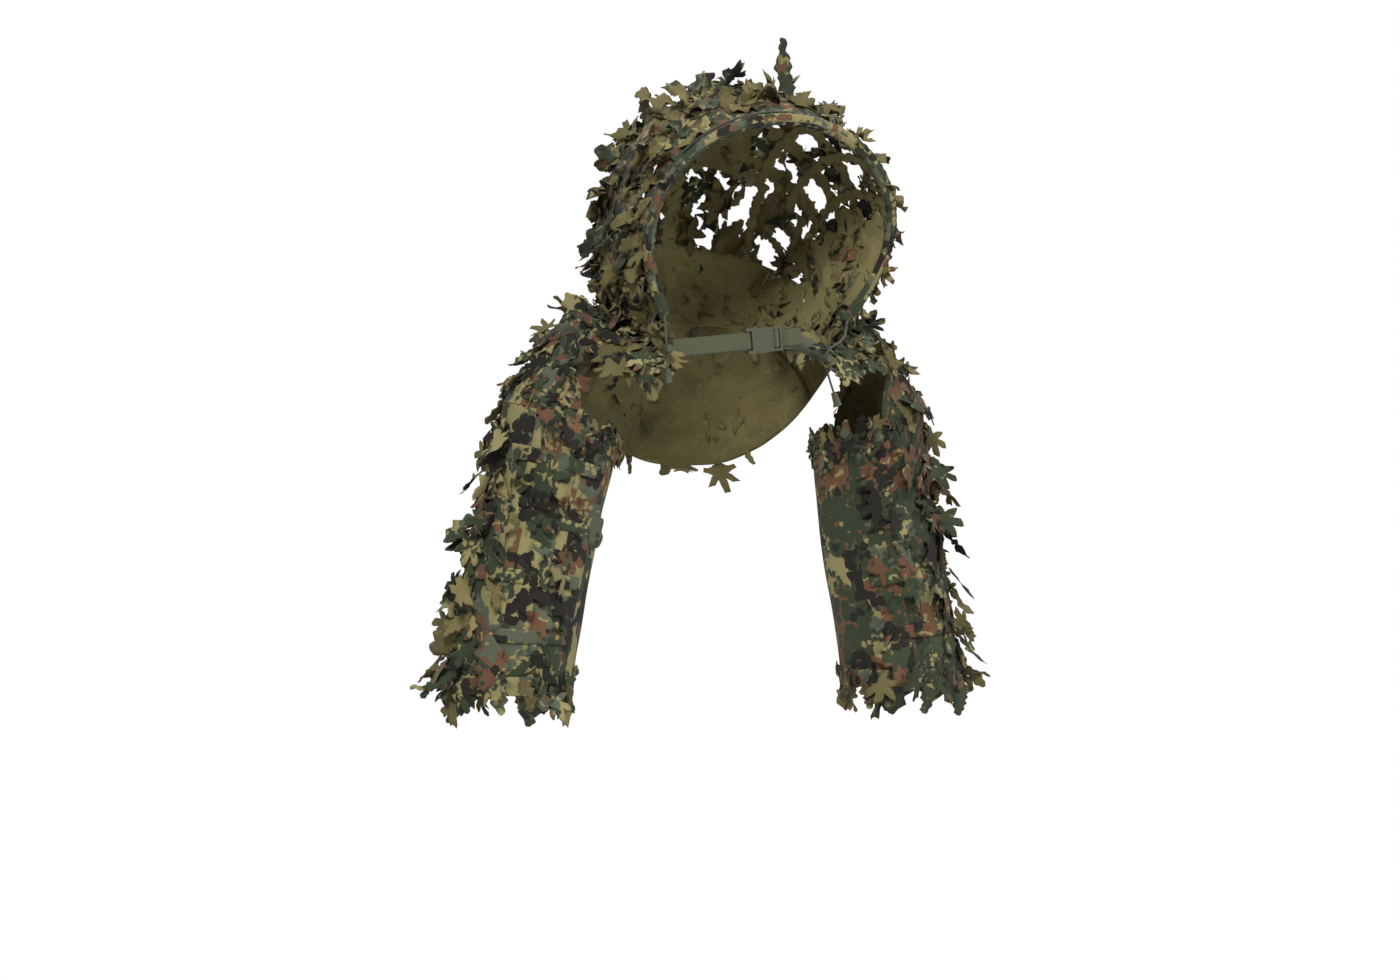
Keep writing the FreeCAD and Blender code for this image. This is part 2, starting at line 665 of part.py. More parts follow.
# ---------------------------------------------------------------- cord locks and tails
TRAVEL = 2.5
cord_tails = {
    "right": [V(-125.4, -133.4, 4.6), V(-127.5, -145, -12), V(-128.5, -150.5, -30), V(-128, -150.5, -53),
              V(-126.5, -150, -68)],
    "left": [V(162.5, -81.5, 6), V(157, -93, -11), V(145, -108, -24), V(126, -122, -32),
             V(112.5, -128, -41), V(112, -128.5, -62), V(117.5, -128, -80), V(124, -127, -97)],
}
LOCK_ON_RUN = {"right": 2, "left": 4}
for name, route in cord_tails.items():
    keep(f"drawcord_tail_{name}", tube(route, cord_radius))
    upper = route[LOCK_ON_RUN[name]]
    lower = route[LOCK_ON_RUN[name] + 1]
    down = (lower - upper).normalize()
    centre = (upper + lower) * 0.5
    out = V(0, -1, 0)
    side = down.cross(out).normalize()
    out = side.cross(down)
    lock_place = FreeCAD.Placement(centre, FreeCAD.Rotation(side * -1, down * -1, out, "YZX"))

    barrel = new_body(f"cord_lock_{name}")
    outline = sketch(barrel, f"barrel_{name}", "XY_Plane", "-sizes.lock_long / 2")
    circle(outline, "sizes.lock_radius")
    pad(barrel, outline, "sizes.lock_long")
    bore = sketch(barrel, f"bore_{name}", "XY_Plane", "sizes.lock_long / 2")
    circle(bore, "sizes.lock_radius - sizes.lock_wall")
    pocket(barrel, bore, "sizes.lock_long - 2")
    eye = sketch(barrel, f"eye_{name}", "XZ_Plane", "-sizes.lock_radius - 1")
    circle(eye, "sizes.cord_width / 2 + 0.6")
    through_cut = barrel.newObject("PartDesign::Pocket", f"eye_{name}_pocket")
    through_cut.Profile = eye
    through_cut.Reversed = True
    through_cut.setExpression("Length", "2 * sizes.lock_radius + 2")
    before = barrel.Shape.Volume
    doc.recompute()
    if barrel.Shape.Volume > before - 1:
        raise RuntimeError("the cord's eye cuts nothing")

    plunger = new_body(f"cord_lock_plunger_{name}")
    outline = sketch(plunger, f"plunger_{name}", "XY_Plane", "-3")
    circle(outline, "sizes.plunger_radius")
    pad(plunger, outline, "sizes.lock_long / 2 + 3 + 4")
    slot = sketch(plunger, f"plunger_eye_{name}", "XZ_Plane", "-sizes.plunger_radius - 1")
    rectangle(slot, "-sizes.cord_width / 2 - 0.5", "sizes.cord_width / 2 + 0.5",
              "-sizes.cord_width / 2 - 0.3", f"sizes.cord_width / 2 + 0.5 + {TRAVEL}")
    through_cut = plunger.newObject("PartDesign::Pocket", f"plunger_eye_{name}_pocket")
    through_cut.Profile = slot
    through_cut.Reversed = True
    through_cut.setExpression("Length", "2 * sizes.plunger_radius + 2")
    doc.recompute()
    for piece in (barrel, plunger):
        piece.Placement = lock_place

    coil = Part.makeHelix(1.4, 4.2, 3.4)
    wire_ring = Part.Wire(Part.makeCircle(0.35, V(3.4, 0, 0), V(0, 1, 0)))
    spring = Part.Wire(coil.Edges).makePipeShell([wire_ring], True, True)
    held = keep(f"cord_lock_spring_{name}", spring)
    held.Placement = lock_place.multiply(FreeCAD.Placement(V(0, 0, -7.6), FreeCAD.Rotation()))

    last_run = (route[-1] - route[-2]).normalize()
    bell = new_body(f"cord_end_{name}")
    outline = sketch(bell, f"bell_{name}", "XY_Plane")
    circle(outline, "sizes.bell_radius - 1.5")
    bell_pad = pad(bell, outline, "sizes.bell_long")
    bell_pad.TaperAngle = 5
    doc.recompute()
    bell.Placement = FreeCAD.Placement(route[-1] + last_run * 0.05, FreeCAD.Rotation(V(0, 0, 1), last_run))

# ---------------------------------------------------------------- check and write
doc.recompute()
for thing in doc.Objects:
    if "Invalid" in thing.State or "Error" in thing.State:
        raise RuntimeError(f"{thing.Label}: {thing.State}")
labels = [piece.Label for piece in parts]
if len(set(labels)) != len(labels):
    raise RuntimeError("two sub-parts share a label")
for piece in parts:
    if piece.Shape.isNull() or not piece.Shape.isValid():
        raise RuntimeError(f"{piece.Label} has no valid shape")
os.makedirs("parts", exist_ok=True)
for piece in parts:
    piece.Shape.exportStep(f"parts/{piece.Label}.step")
print(len(parts), "sub-parts")
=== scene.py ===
import math
from collections import namedtuple
from functools import partial

import bpy
import numpy as np
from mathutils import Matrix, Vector, noise


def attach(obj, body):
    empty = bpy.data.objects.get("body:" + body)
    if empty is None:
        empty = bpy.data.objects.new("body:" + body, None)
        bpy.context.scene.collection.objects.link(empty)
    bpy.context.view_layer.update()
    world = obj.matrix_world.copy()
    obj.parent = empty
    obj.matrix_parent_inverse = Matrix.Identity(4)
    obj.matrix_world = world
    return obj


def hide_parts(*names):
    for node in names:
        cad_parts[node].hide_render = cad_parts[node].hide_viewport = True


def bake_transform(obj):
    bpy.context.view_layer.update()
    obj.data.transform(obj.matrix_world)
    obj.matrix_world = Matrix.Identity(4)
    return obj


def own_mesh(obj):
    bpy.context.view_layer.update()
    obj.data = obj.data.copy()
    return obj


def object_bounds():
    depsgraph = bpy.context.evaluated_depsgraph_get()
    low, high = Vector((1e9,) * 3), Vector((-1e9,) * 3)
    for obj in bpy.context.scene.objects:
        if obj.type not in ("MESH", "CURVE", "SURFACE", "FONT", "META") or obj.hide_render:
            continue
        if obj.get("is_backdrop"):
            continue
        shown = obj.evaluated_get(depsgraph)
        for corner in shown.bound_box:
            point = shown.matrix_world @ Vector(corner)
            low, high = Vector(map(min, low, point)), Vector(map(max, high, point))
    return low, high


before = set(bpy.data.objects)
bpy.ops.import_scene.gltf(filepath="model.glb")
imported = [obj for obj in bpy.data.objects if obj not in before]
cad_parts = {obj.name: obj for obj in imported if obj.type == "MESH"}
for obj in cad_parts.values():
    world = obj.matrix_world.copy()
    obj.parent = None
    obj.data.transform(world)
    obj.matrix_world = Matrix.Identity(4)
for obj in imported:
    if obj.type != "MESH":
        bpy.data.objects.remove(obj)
cad_low, cad_high = (Vector(corner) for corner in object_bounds())

# The garment hangs on a wearer who faces -Y, with +Z up and the wearer's right at -X. Metres.
MM = 0.001


# ---- camera, light and floor
TURN = math.radians(20)
AIM = Vector((-0.0226, 0.0082, -0.231))
FAR = 4.5
SENSOR = 36.0
FRAME_WIDTH = 1.96
FLOOR_DROP, FLOOR_REACH = 0.95, 1.4


def add_object(name, data):
    thing = bpy.data.objects.new(name, data)
    bpy.context.scene.collection.objects.link(thing)
    return thing


def look(thing, place, target):
    thing.location = place
    thing.rotation_euler = (Vector(target) - Vector(place)).to_track_quat("-Z", "Y").to_euler()


def add_camera():
    view = Vector((-math.sin(TURN), -math.cos(TURN), 0))
    data = bpy.data.cameras.new("camera")
    data.sensor_width = SENSOR
    data.lens = SENSOR * FAR / FRAME_WIDTH
    data.clip_end = 60
    camera = add_object("camera", data)
    look(camera, AIM + view * FAR, AIM)
    bpy.context.scene.camera = camera


def add_light(name, place, wide, watts):
    data = bpy.data.lights.new(name, "AREA")
    data.shape = "DISK"
    data.size = wide
    data.energy = watts
    look(add_object(name, data), place, (0, 0, -0.1))


def add_room():
    world = bpy.data.worlds.new("studio")
    world.use_nodes = True
    nodes, links = world.node_tree.nodes, world.node_tree.links
    rays = nodes.new("ShaderNodeLightPath")
    level = nodes.new("ShaderNodeMapRange")
    level.inputs["To Min"].default_value = 0.45
    level.inputs["To Max"].default_value = 1.0
    links.new(rays.outputs["Is Camera Ray"], level.inputs["Value"])
    links.new(level.outputs["Result"], nodes["Background"].inputs["Strength"])
    nodes["Background"].inputs["Color"].default_value = (1, 1, 1, 1)
    bpy.context.scene.world = world
    bpy.context.scene.view_settings.view_transform = "Standard"
    add_light("key", (-1.8, -3.2, 2.6), 1.3, 190)
    add_light("fill", (2.8, -2.4, 1.6), 1.6, 85)
    add_light("rim", (0.6, 3.0, 2.4), 1.4, 100)
    data = bpy.data.meshes.new("floor")
    height = cad_low.z - FLOOR_DROP
    corners = [(-1, -1), (1, -1), (1, 1), (-1, 1)]
    data.from_pydata([(x * FLOOR_REACH, y * FLOOR_REACH, height) for x, y in corners], [], [(0, 1, 2, 3)])
    floor = add_object("floor", data)
    finish = Finish("pale_floor")
    grain = finish.add("TexNoise", {"Scale": 3.0, "Detail": 3.0})
    shade = finish.mix(grain.outputs["Fac"], srgb(246, 246, 246), srgb(252, 252, 252))
    finish.paint(shade, 0.8)
    data.materials.append(finish.material)
    floor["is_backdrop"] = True


# ---- material building
def srgb(*levels):
    linear = [((level / 255 + 0.055) / 1.055) ** 2.4 for level in levels]
    return (*linear, 1.0)


class Finish:
    """A material whose nodes are added one call at a time."""

    def __init__(self, name):
        self.material = bpy.data.materials.new(name)
        self.material.use_nodes = True
        self.tree = self.material.node_tree
        self.surface = self.tree.nodes["Principled BSDF"]

    def add(self, kind, wires, **settings):
        node = self.tree.nodes.new(f"ShaderNode{kind}")
        for key, value in settings.items():
            setattr(node, key, value)
        for socket, value in wires.items():
            self.wire(node.inputs[socket], value)
        return node

    def wire(self, socket, value):
        if isinstance(value, bpy.types.NodeSocket):
            self.tree.links.new(value, socket)
        else:
            socket.default_value = value

    def calc(self, operation, *values):
        return self.add("Math", dict(enumerate(values)), operation=operation).outputs[0]

    def vector(self, operation, *values):
        return self.add("VectorMath", dict(enumerate(values)), operation=operation).outputs[0]

    def wave(self, value, period):
        return self.calc("SINE", self.calc("MULTIPLY", value, math.tau / period))

    def noise(self, place, scale, detail=2.0, roughness=0.5, dimensions="3D"):
        wires = {"Vector": place, "Scale": scale, "Detail": detail, "Roughness": roughness}
        return self.add("TexNoise", wires, noise_dimensions=dimensions).outputs["Fac"]

    def mix(self, share, first, second, blend="MIX"):
        node = self.add("Mix", {0: share, 6: first, 7: second}, data_type="RGBA", blend_type=blend)
        return node.outputs[2]

    def step(self, value, low, high):
        """0 below low, 1 above high, straight between them."""
        node = self.add("MapRange", {"Value": value, "From Min": low, "From Max": high})
        return node.outputs["Result"]

    def bump(self, heights):
        """heights: (height socket, distance in metres), each on top of the last."""
        normal = None
        for height, distance in heights:
            node = self.add("Bump", {"Height": height, "Distance": distance, "Strength": 1.0})
            if normal:
                self.tree.links.new(normal, node.inputs["Normal"])
            normal = node.outputs["Normal"]
        self.tree.links.new(normal, self.surface.inputs["Normal"])

    def paint(self, colour, roughness, **shine):
        self.wire(self.surface.inputs["Base Color"], colour)
        self.wire(self.surface.inputs["Roughness"], roughness)
        for name, value in shine.items():
            self.surface.inputs[name.replace("_", " ")].default_value = value


# ---- materials
KHAKI = srgb(138, 129, 87)
GREY_GREEN = srgb(84, 89, 72)
DARK_GREEN = srgb(54, 62, 44)
RED_BROWN = srgb(102, 72, 52)
NEAR_BLACK = srgb(37, 34, 29)
OLIVE = srgb(114, 105, 67)
OLIVE_DEEP = srgb(88, 82, 51)
THREAD = 0.7 * MM
WEB_WIDE = 25 * MM


def cloth_space(finish):
    return finish.add("UVMap", {}, uv_map="cloth").outputs["UV"]


def weave(finish, space):
    """The over and under of a plain weave, from -1 to 1."""
    axes = finish.add("SeparateXYZ", {0: space})
    return finish.calc("MULTIPLY", *(finish.wave(axes.outputs[axis], THREAD) for axis in "XY"))


def dots(finish, space, offset, cell, radius, patch, share):
    """Round printed dots that gather into patches: 1 on a dot."""
    moved = finish.vector("ADD", space, (offset, offset * 0.7, 0))
    wires = {"Vector": moved, "Scale": 1 / cell, "Randomness": 0.8}
    cells = finish.add("TexVoronoi", wires, voronoi_dimensions="2D")
    field = finish.noise(cells.outputs["Position"], 1 / patch, 1.0, dimensions="2D")
    near = finish.calc("LESS_THAN", cells.outputs["Distance"], radius)
    held = finish.calc("GREATER_THAN", field, share)
    return finish.calc("MULTIPLY", near, held)


PRINT = (
    # colour, offset, dot spacing, dot radius in spacings, patch size, share left bare,
    # and how much more of it the redder cloth has
    (GREY_GREEN, 3.1, 13 * MM, 0.70, 90 * MM, 0.50, 0.3),
    (RED_BROWN, 7.7, 12 * MM, 0.64, 70 * MM, 0.55, 1.0),
    (DARK_GREEN, 12.9, 12 * MM, 0.66, 78 * MM, 0.53, 0.4),
    (DARK_GREEN, 17.3, 8 * MM, 0.48, 34 * MM, 0.60, 0.4),
    (KHAKI, 21.9, 9 * MM, 0.40, 45 * MM, 0.64, -0.6),
    (NEAR_BLACK, 27.1, 12 * MM, 0.64, 60 * MM, 0.60, 0.0),
)


def printed_colour(finish, space, redder):
    """The dots' edges wobble, as ink does on rough cloth."""
    wobble = finish.noise(space, 260.0, 1.0, dimensions="2D")
    spread = finish.vector("SUBTRACT", wobble.node.outputs["Color"], (0.5, 0.5, 0.5))
    moved = finish.vector("MULTIPLY_ADD", spread, (4 * MM, 4 * MM, 0), space)
    colour = KHAKI
    for ink, offset, cell, radius, patch, bare, gain in PRINT:
        there = dots(finish, moved, offset, cell, radius, patch, bare - gain * redder)
        colour = finish.mix(there, colour, ink)
    return colour


def weathered(finish, space, colour, strength=0.3):
    """Per-leaf shade, uneven fading and darker raw edges."""
    tone = finish.add("Attribute", {}, attribute_name="tone").outputs["Fac"]
    fade = finish.noise(space, 22.0, 4.0, 0.6)
    level = finish.calc("MULTIPLY_ADD", fade, strength, 1.0 - strength / 2)
    level = finish.calc("ADD", level, finish.calc("MULTIPLY", tone, 0.22))
    shade = finish.add("CombineColor", {0: level, 1: level, 2: level}).outputs[0]
    colour = finish.mix(1.0, colour, shade, "MULTIPLY")
    rim = finish.add("Attribute", {}, attribute_name="edge").outputs["Fac"]
    worn = finish.calc("MULTIPLY", finish.step(rim, 0.86, 1.0), 0.35)
    return finish.mix(worn, colour, srgb(60, 52, 36))


def cloth_bump(finish, space, crumple_size, crumple_depth):
    crumple = finish.noise(space, 1 / crumple_size, 5.0, 0.55)
    finish.bump([(crumple, crumple_depth), (weave(finish, space), 0.12 * MM)])


def camo_finish(name="camo_cloth", redder=0.0):
    finish = Finish(name)
    space = cloth_space(finish)
    colour = weathered(finish, space, printed_colour(finish, space, redder))
    finish.paint(colour, 0.88, Sheen_Weight=0.04, Sheen_Roughness=0.5, Specular_IOR_Level=0.18)
    cloth_bump(finish, space, 26 * MM, 2.6 * MM)
    return finish.material


def olive_finish(name="olive_cloth", light=OLIVE, deep=OLIVE_DEEP, crumple=2.4 * MM):
    """The unprinted back of the cloth, with slubby threads and the print's ghost."""
    finish = Finish(name)
    space = cloth_space(finish)
    slubs = finish.noise(finish.vector("MULTIPLY", space, (420.0, 160.0, 1.0)), 1.0, 4.0, dimensions="2D")
    slubs = finish.calc("MULTIPLY", finish.step(slubs, 0.3, 0.7), 0.4)
    colour = finish.mix(slubs, light, deep)
    ghost = dots(finish, space, 12.9, 16 * MM, 0.70, 70 * MM, 0.52)
    colour = finish.mix(finish.calc("MULTIPLY", ghost, 0.20), colour, DARK_GREEN)
    ghost = dots(finish, space, 7.7, 15 * MM, 0.66, 62 * MM, 0.55)
    colour = finish.mix(finish.calc("MULTIPLY", ghost, 0.08), colour, RED_BROWN)
    colour = weathered(finish, space, colour, 0.45)
    finish.paint(colour, 0.9, Sheen_Weight=0.04, Sheen_Roughness=0.5, Specular_IOR_Level=0.15)
    cloth_bump(finish, space, 22 * MM, crumple)
    return finish.material


def webbing_finish(name="webbing", light=srgb(82, 84, 61), dark=srgb(60, 63, 45)):
    finish = Finish(name)
    space = cloth_space(finish)
    axes = finish.add("SeparateXYZ", {0: space})
    ribs = finish.wave(axes.outputs["X"], 1.5 * MM)
    twill = finish.wave(finish.calc("ADD", axes.outputs["X"], axes.outputs["Y"]), 3.6 * MM)
    pattern = finish.calc("MULTIPLY_ADD", twill, 0.5, 0.5)
    colour = finish.mix(pattern, dark, light)
    from_middle = finish.calc("ABSOLUTE", finish.calc("SUBTRACT", axes.outputs["Y"], WEB_WIDE / 2))
    selvedge = finish.step(from_middle, WEB_WIDE / 2 - 2.2 * MM, WEB_WIDE / 2 - 1.2 * MM)
    colour = finish.mix(finish.calc("MULTIPLY", selvedge, 0.45), colour, srgb(46, 49, 35))
    colour = weathered(finish, space, colour, 0.25)
    finish.paint(colour, 0.75, Sheen_Weight=0.2, Sheen_Roughness=0.4, Specular_IOR_Level=0.35)
    finish.bump([(twill, 0.25 * MM), (ribs, 0.08 * MM)])
    return finish.material


def plastic_finish():
    """Olive moulded acetal: fine grain, faint flow marks and polished high spots."""
    finish = Finish("moulded_plastic")
    place = finish.add("TexCoord", {}).outputs["Object"]
    flow = finish.noise(place, 60.0, 4.0)
    colour = finish.mix(flow, srgb(58, 60, 43), srgb(72, 74, 54))
    grain = finish.noise(place, 2200.0)
    finish.paint(colour, finish.calc("MULTIPLY_ADD", flow, 0.25, 0.38), Specular_IOR_Level=0.4)
    finish.bump([(grain, 0.08 * MM)])
    return finish.material


def cord_finish():
    finish = Finish("cord")
    place = finish.add("TexCoord", {}).outputs["Object"]
    wires = {"Vector": place, "Scale": 420.0, "Distortion": 2.0}
    braid = finish.add("TexWave", wires, bands_direction="DIAGONAL")
    colour = finish.mix(braid.outputs["Fac"], srgb(38, 40, 30), srgb(66, 68, 50))
    finish.paint(colour, 0.8, Sheen_Weight=0.2)
    finish.bump([(braid.outputs["Fac"], 0.25 * MM)])
    return finish.material


def steel_finish():
    finish = Finish("spring_steel")
    place = finish.add("TexCoord", {}).outputs["Object"]
    drawn = finish.noise(place, 900.0)
    colour = finish.mix(drawn, srgb(150, 150, 152), srgb(180, 180, 182))
    finish.paint(colour, 0.35, Metallic=1.0)
    return finish.material


add_room()
add_camera()
CAMO = camo_finish()
RED_CAMO = camo_finish("redder_camo_cloth", 0.12)
OLIVE_CLOTH = olive_finish()
# the hood's inside: the olive back of the cloth with painted light, made lighter as if lit through the face
# opening
LIT_LINING = olive_finish("lit_lining_cloth", srgb(133, 124, 80), srgb(100, 93, 59), 3.6 * MM)
# a cloth's outer and inner look
PLAIN = (CAMO, OLIVE_CLOTH)
# the hood's cloth, whose inside carries painted light
LIT_LINED = (CAMO, LIT_LINING)
WEBBING = webbing_finish()
ELASTIC = webbing_finish("elastic", srgb(70, 74, 52), srgb(50, 54, 38))
PLASTIC = plastic_finish()
CORD = cord_finish()
STEEL = steel_finish()


# ---- the garment's surfaces
def through(stations, where):
    """The smooth run through evenly spaced stations at shares of its length."""
    stations = np.asarray(stations, float)
    last = len(stations) - 1
    place = np.asarray(where, float) * last
    first = np.clip(place.astype(int), 0, last - 1)
    step = (place - first)[..., None]
    a, b, c, d = (stations[np.clip(first + k, 0, last)] for k in (-1, 0, 1, 2))
    return (
        b * (2 * step**3 - 3 * step**2 + 1)
        + (c - a) * 0.5 * (step**3 - 2 * step**2 + step)
        + c * (3 * step**2 - 2 * step**3)
        + (d - b) * 0.5 * (step**3 - step**2)
    )


def stack(*axes):
    return np.stack(np.broadcast_arrays(*axes), -1)


def matched(*shares):
    """Numbers and arrays brought to one shape."""
    return np.broadcast_arrays(*(np.asarray(share, float) for share in shares))


def bezier(start, first, second, end, share):
    left = 1 - share
    return start * left**3 + first * 3 * left**2 * share + second * 3 * left * share**2 + end * share**3


HOOD_TURN = math.radians(10)


def turned(points):
    """The head, and the hood on it, look a little to the wearer's left."""
    cos, sin = math.cos(HOOD_TURN), math.sin(HOOD_TURN)
    x, y, z = np.moveaxis(points, -1, 0)
    return stack(x * cos - y * sin, x * sin + y * cos, z)


CORNER_HALF, CORNER_FRONT, CORNER_DOWN = 0.130, 0.098, 0.015
BRIM_BULGE = 0.004
# lean back from upright in degrees, reach from the corners' line, half width
ARCHES = [
    (-19.5, 0.300, 0.190), (14, 0.342, 0.184), (43, 0.312, 0.171), (68, 0.248, 0.155), (85, 0.200, 0.137),
]
# the share of an arch's height where it is widest, and of its run that is side
WIDEST, SIDE_SHARE = 0.47, 0.35


def hood(across, back):
    """across: 0 right corner, 0.5 over the head, 1 left corner; back: 0 brim, 1 neck seam."""
    across, back = matched(across, back)
    lean, reach, half = np.moveaxis(through(ARCHES, back), -1, 0)
    side = np.where(across < 0.5, -1, 1)
    climb = 1 - abs(2 * across - 1)
    rise = np.sin(math.pi / 2 * np.clip(climb / SIDE_SHARE, 0, 1))
    sweep = math.pi / 2 * np.clip((climb - SIDE_SHARE) / (1 - SIDE_SHARE), 0, 1)
    low = climb < SIDE_SHARE
    height = np.where(low, WIDEST * climb / SIDE_SHARE, WIDEST + (1 - WIDEST) * np.sin(sweep))
    x = np.where(low, CORNER_HALF + (half - CORNER_HALF) * rise, half * np.cos(sweep))
    lean = np.radians(lean)
    bulge = BRIM_BULGE * (1 - back) ** 2 * np.sin(math.pi * np.minimum(height, 1))
    return turned(stack(
        side * x,
        -CORNER_FRONT + reach * height * np.sin(lean) - bulge,
        -CORNER_DOWN + reach * height * np.cos(lean),
    ))


YOKE_SIDE = np.array([
    (-0.168, -0.108, -0.078),
    (-0.214, -0.062, -0.040),
    (-0.222, 0.004, 0.000),
    (-0.214, 0.062, -0.036),
    (-0.158, 0.108, -0.130),
    (-0.080, 0.126, -0.184),
])
MIRROR = np.array((-1, 1, 1))
YOKE_EDGE = np.vstack([
    (-0.112, -0.135, -0.064), YOKE_SIDE, (0, 0.130, -0.196), YOKE_SIDE[::-1] * MIRROR, (0.120, -0.114, -0.064)
])
NECK_DROP = 0.005


def yoke(around, out):
    """around: 0 right front corner, 0.5 centre back, 1 left front; out: 0 neck, 1 outer edge."""
    around, out = matched(around, out)
    neck = hood(0.02 + 0.96 * around, 1.0) - (0, 0, NECK_DROP)
    edge = through(YOKE_EDGE, around)
    crest = 6.75 * out**2 * (1 - out)
    over_shoulder = np.sin(math.tau * np.minimum(around, 1 - around)) ** 2
    share = out[..., None]
    raised = (6 + 20 * over_shoulder) * MM * crest
    return neck * (1 - share) + edge * share + stack(0, 0, raised)


SLEEVE_CENTRES = [(0.229, -0.001), (0.250, 0.020), (0.274, 0.031), (0.294, 0.036)]
SLEEVE_TOP_HALF, SLEEVE_END_HALF, SLEEVE_DROP = 0.080, 0.087, 0.511
SLEEVE_DEPTH = 0.86


def sleeve(around, down):
    """The left sleeve. around: 0 beside the body, 0.25 back, 0.5 outside, 0.75 front."""
    around, down = matched(around, down)
    middle = through(SLEEVE_CENTRES, down)
    wide = SLEEVE_TOP_HALF + (SLEEVE_END_HALF - SLEEVE_TOP_HALF) * down
    angle = math.tau * around
    top = -0.138 - 0.026 * np.cos(angle)
    return stack(
        middle[..., 0] - wide * np.cos(angle),
        middle[..., 1] + SLEEVE_DEPTH * wide * np.sin(angle),
        top + (-SLEEVE_DROP - top) * down,
    )


HEAD_FROM, HEAD_TO = 0.20, 0.76
ARMHOLE_RADIUS, ARMHOLE_SIDE = 0.075, 0.222


def sleeve_head(along, down):
    """The left sleeve's cap, from the armhole's ring, back to front, down to the sleeve."""
    along, down = matched(along, down)
    angle = np.radians(90 - 152 * along)
    ring = stack(ARMHOLE_SIDE + 2 * MM, ARMHOLE_RADIUS * np.sin(angle), ARMHOLE_RADIUS * (np.cos(angle) - 1))
    foot = sleeve(HEAD_FROM + (HEAD_TO - HEAD_FROM) * along, 0.0)
    reach = np.linalg.norm(foot - ring, axis=-1)
    first = ring + stack(0.13 * reach, 0, -0.08 * reach)
    second = foot + stack(-0.11 * reach, 0, 0.22 * reach)
    return bezier(ring, first, second, foot, down[..., None])


TINY = 1e-3


def unit(vectors):
    return vectors / np.linalg.norm(vectors, axis=-1, keepdims=True)


def square_to(axis, vectors):
    """Unit vectors, without the vectors' share along a unit axis."""
    return unit(vectors - (vectors * axis).sum(-1, keepdims=True) * axis)


def outward(surface, u, v):
    """The surface's outward unit normal."""
    along = surface(u + TINY, v) - surface(u - TINY, v)
    back = surface(u, v + TINY) - surface(u, v - TINY)
    return unit(np.cross(along, back))


def rough(points, size, seed):
    """Smooth noise about 0, one value for each point, with bumps about size across."""
    shift = Vector((17.3, 5.1, 9.7)) * seed
    flat = points.reshape(-1, 3)
    values = [noise.noise(Vector(point) / size + shift) for point in flat]
    return np.array(values).reshape(points.shape[:-1])


# ---- mesh building
def add_mesh(name, points, faces, spots, looks, kinds=0, smooth=True, **fields):
    """spots: each point's place on the flat cloth in metres; kinds: each face's material."""
    data = bpy.data.meshes.new(name)
    data.from_pydata(points.tolist(), [], faces.tolist() if hasattr(faces, "tolist") else faces)
    layer = data.uv_layers.new(name="cloth")
    owners = np.zeros(len(data.loops), np.int32)
    data.loops.foreach_get("vertex_index", owners)
    layer.data.foreach_set("uv", np.asarray(spots, np.float32)[owners].ravel())
    for look in looks:
        data.materials.append(look)
    number = len(data.polygons)
    data.polygons.foreach_set("material_index", np.broadcast_to(kinds, number).astype(np.int32))
    data.polygons.foreach_set("use_smooth", np.broadcast_to(smooth, number).astype(bool))
    for field, values in fields.items():
        field = data.attributes.new(field, "FLOAT", "POINT")
        field.data.foreach_set("value", np.asarray(values, np.float32))
    data.update()
    return add_object(name, data)


def lengths(points, axis):
    """How far each grid point lies along an axis, averaged over the other one."""
    steps = np.linalg.norm(np.diff(points, axis=axis), axis=-1).mean(axis=1 - axis)
    return np.concatenate([[0], np.cumsum(steps)])


def grid_faces(rows, columns, start=0):
    index = start + np.arange(rows * columns).reshape(rows, columns)
    return np.stack([index[:-1, :-1], index[1:, :-1], index[1:, 1:], index[:-1, 1:]], -1).reshape(-1, 4)


def border(rows, columns):
    """The indices around a grid's edge, in order."""
    index = np.arange(rows * columns).reshape(rows, columns)
    return np.concatenate([index[:-1, 0], index[-1, :-1], index[:0:-1, -1], index[0, :0:-1]])


def cloth_panel(name, inner, outer, looks=PLAIN, flip=False, at=(0, 0)):
    """A closed cloth sheet between two grids of points; at: its place on the printed cloth."""
    rows, columns = outer.shape[:2]
    count = rows * columns
    along, down = lengths(outer, 0), lengths(outer, 1)
    flat = stack(along[:, None] + at[0], down + at[1]).reshape(-1, 2)
    face = grid_faces(rows, columns)
    edge = border(rows, columns)
    after = np.roll(edge, -1)
    side = np.stack([edge, edge + count, after + count, after], -1)
    faces = np.vstack([face, face[:, ::-1] + count, side])
    points = np.vstack([outer.reshape(-1, 3), inner.reshape(-1, 3)])
    if flip:
        points = points * MIRROR
        faces = faces[:, ::-1]
    kinds = np.repeat([0, 1, 0], [len(face), len(face), len(side)])
    smooth = np.repeat([1, 0], [2 * len(face), len(side)])
    made = add_mesh(name, points, faces, np.vstack([flat, flat]), looks, kinds, smooth)
    made["flat"] = [float(along[-1]), float(down[-1])]
    return made


def draped(surface, box, counts, relief, lift=0.0, thick=0.9 * MM, wave=None):
    """The inner and outer grids of a sheet on a surface; relief gives its folds, wave its uneven edge."""
    spans = (np.linspace(*ends, count) for ends, count in zip((box[:2], box[2:]), counts))
    u, v = np.meshgrid(*spans, indexing="ij")
    if wave:
        u, v = wave(u, v)
    base, normal = surface(u, v), outward(surface, u, v)
    height = (lift + relief(base, u, v))[..., None]
    return base + normal * height, base + normal * (height + thick)


def belongs(piece, body, nodes, slot="camo_cloth"):
    """body is None for a piece that lies across the hood's joint; it stays in place on no body."""
    if body:
        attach(piece, body)
    else:
        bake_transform(piece)
    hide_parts(*nodes)
    return piece


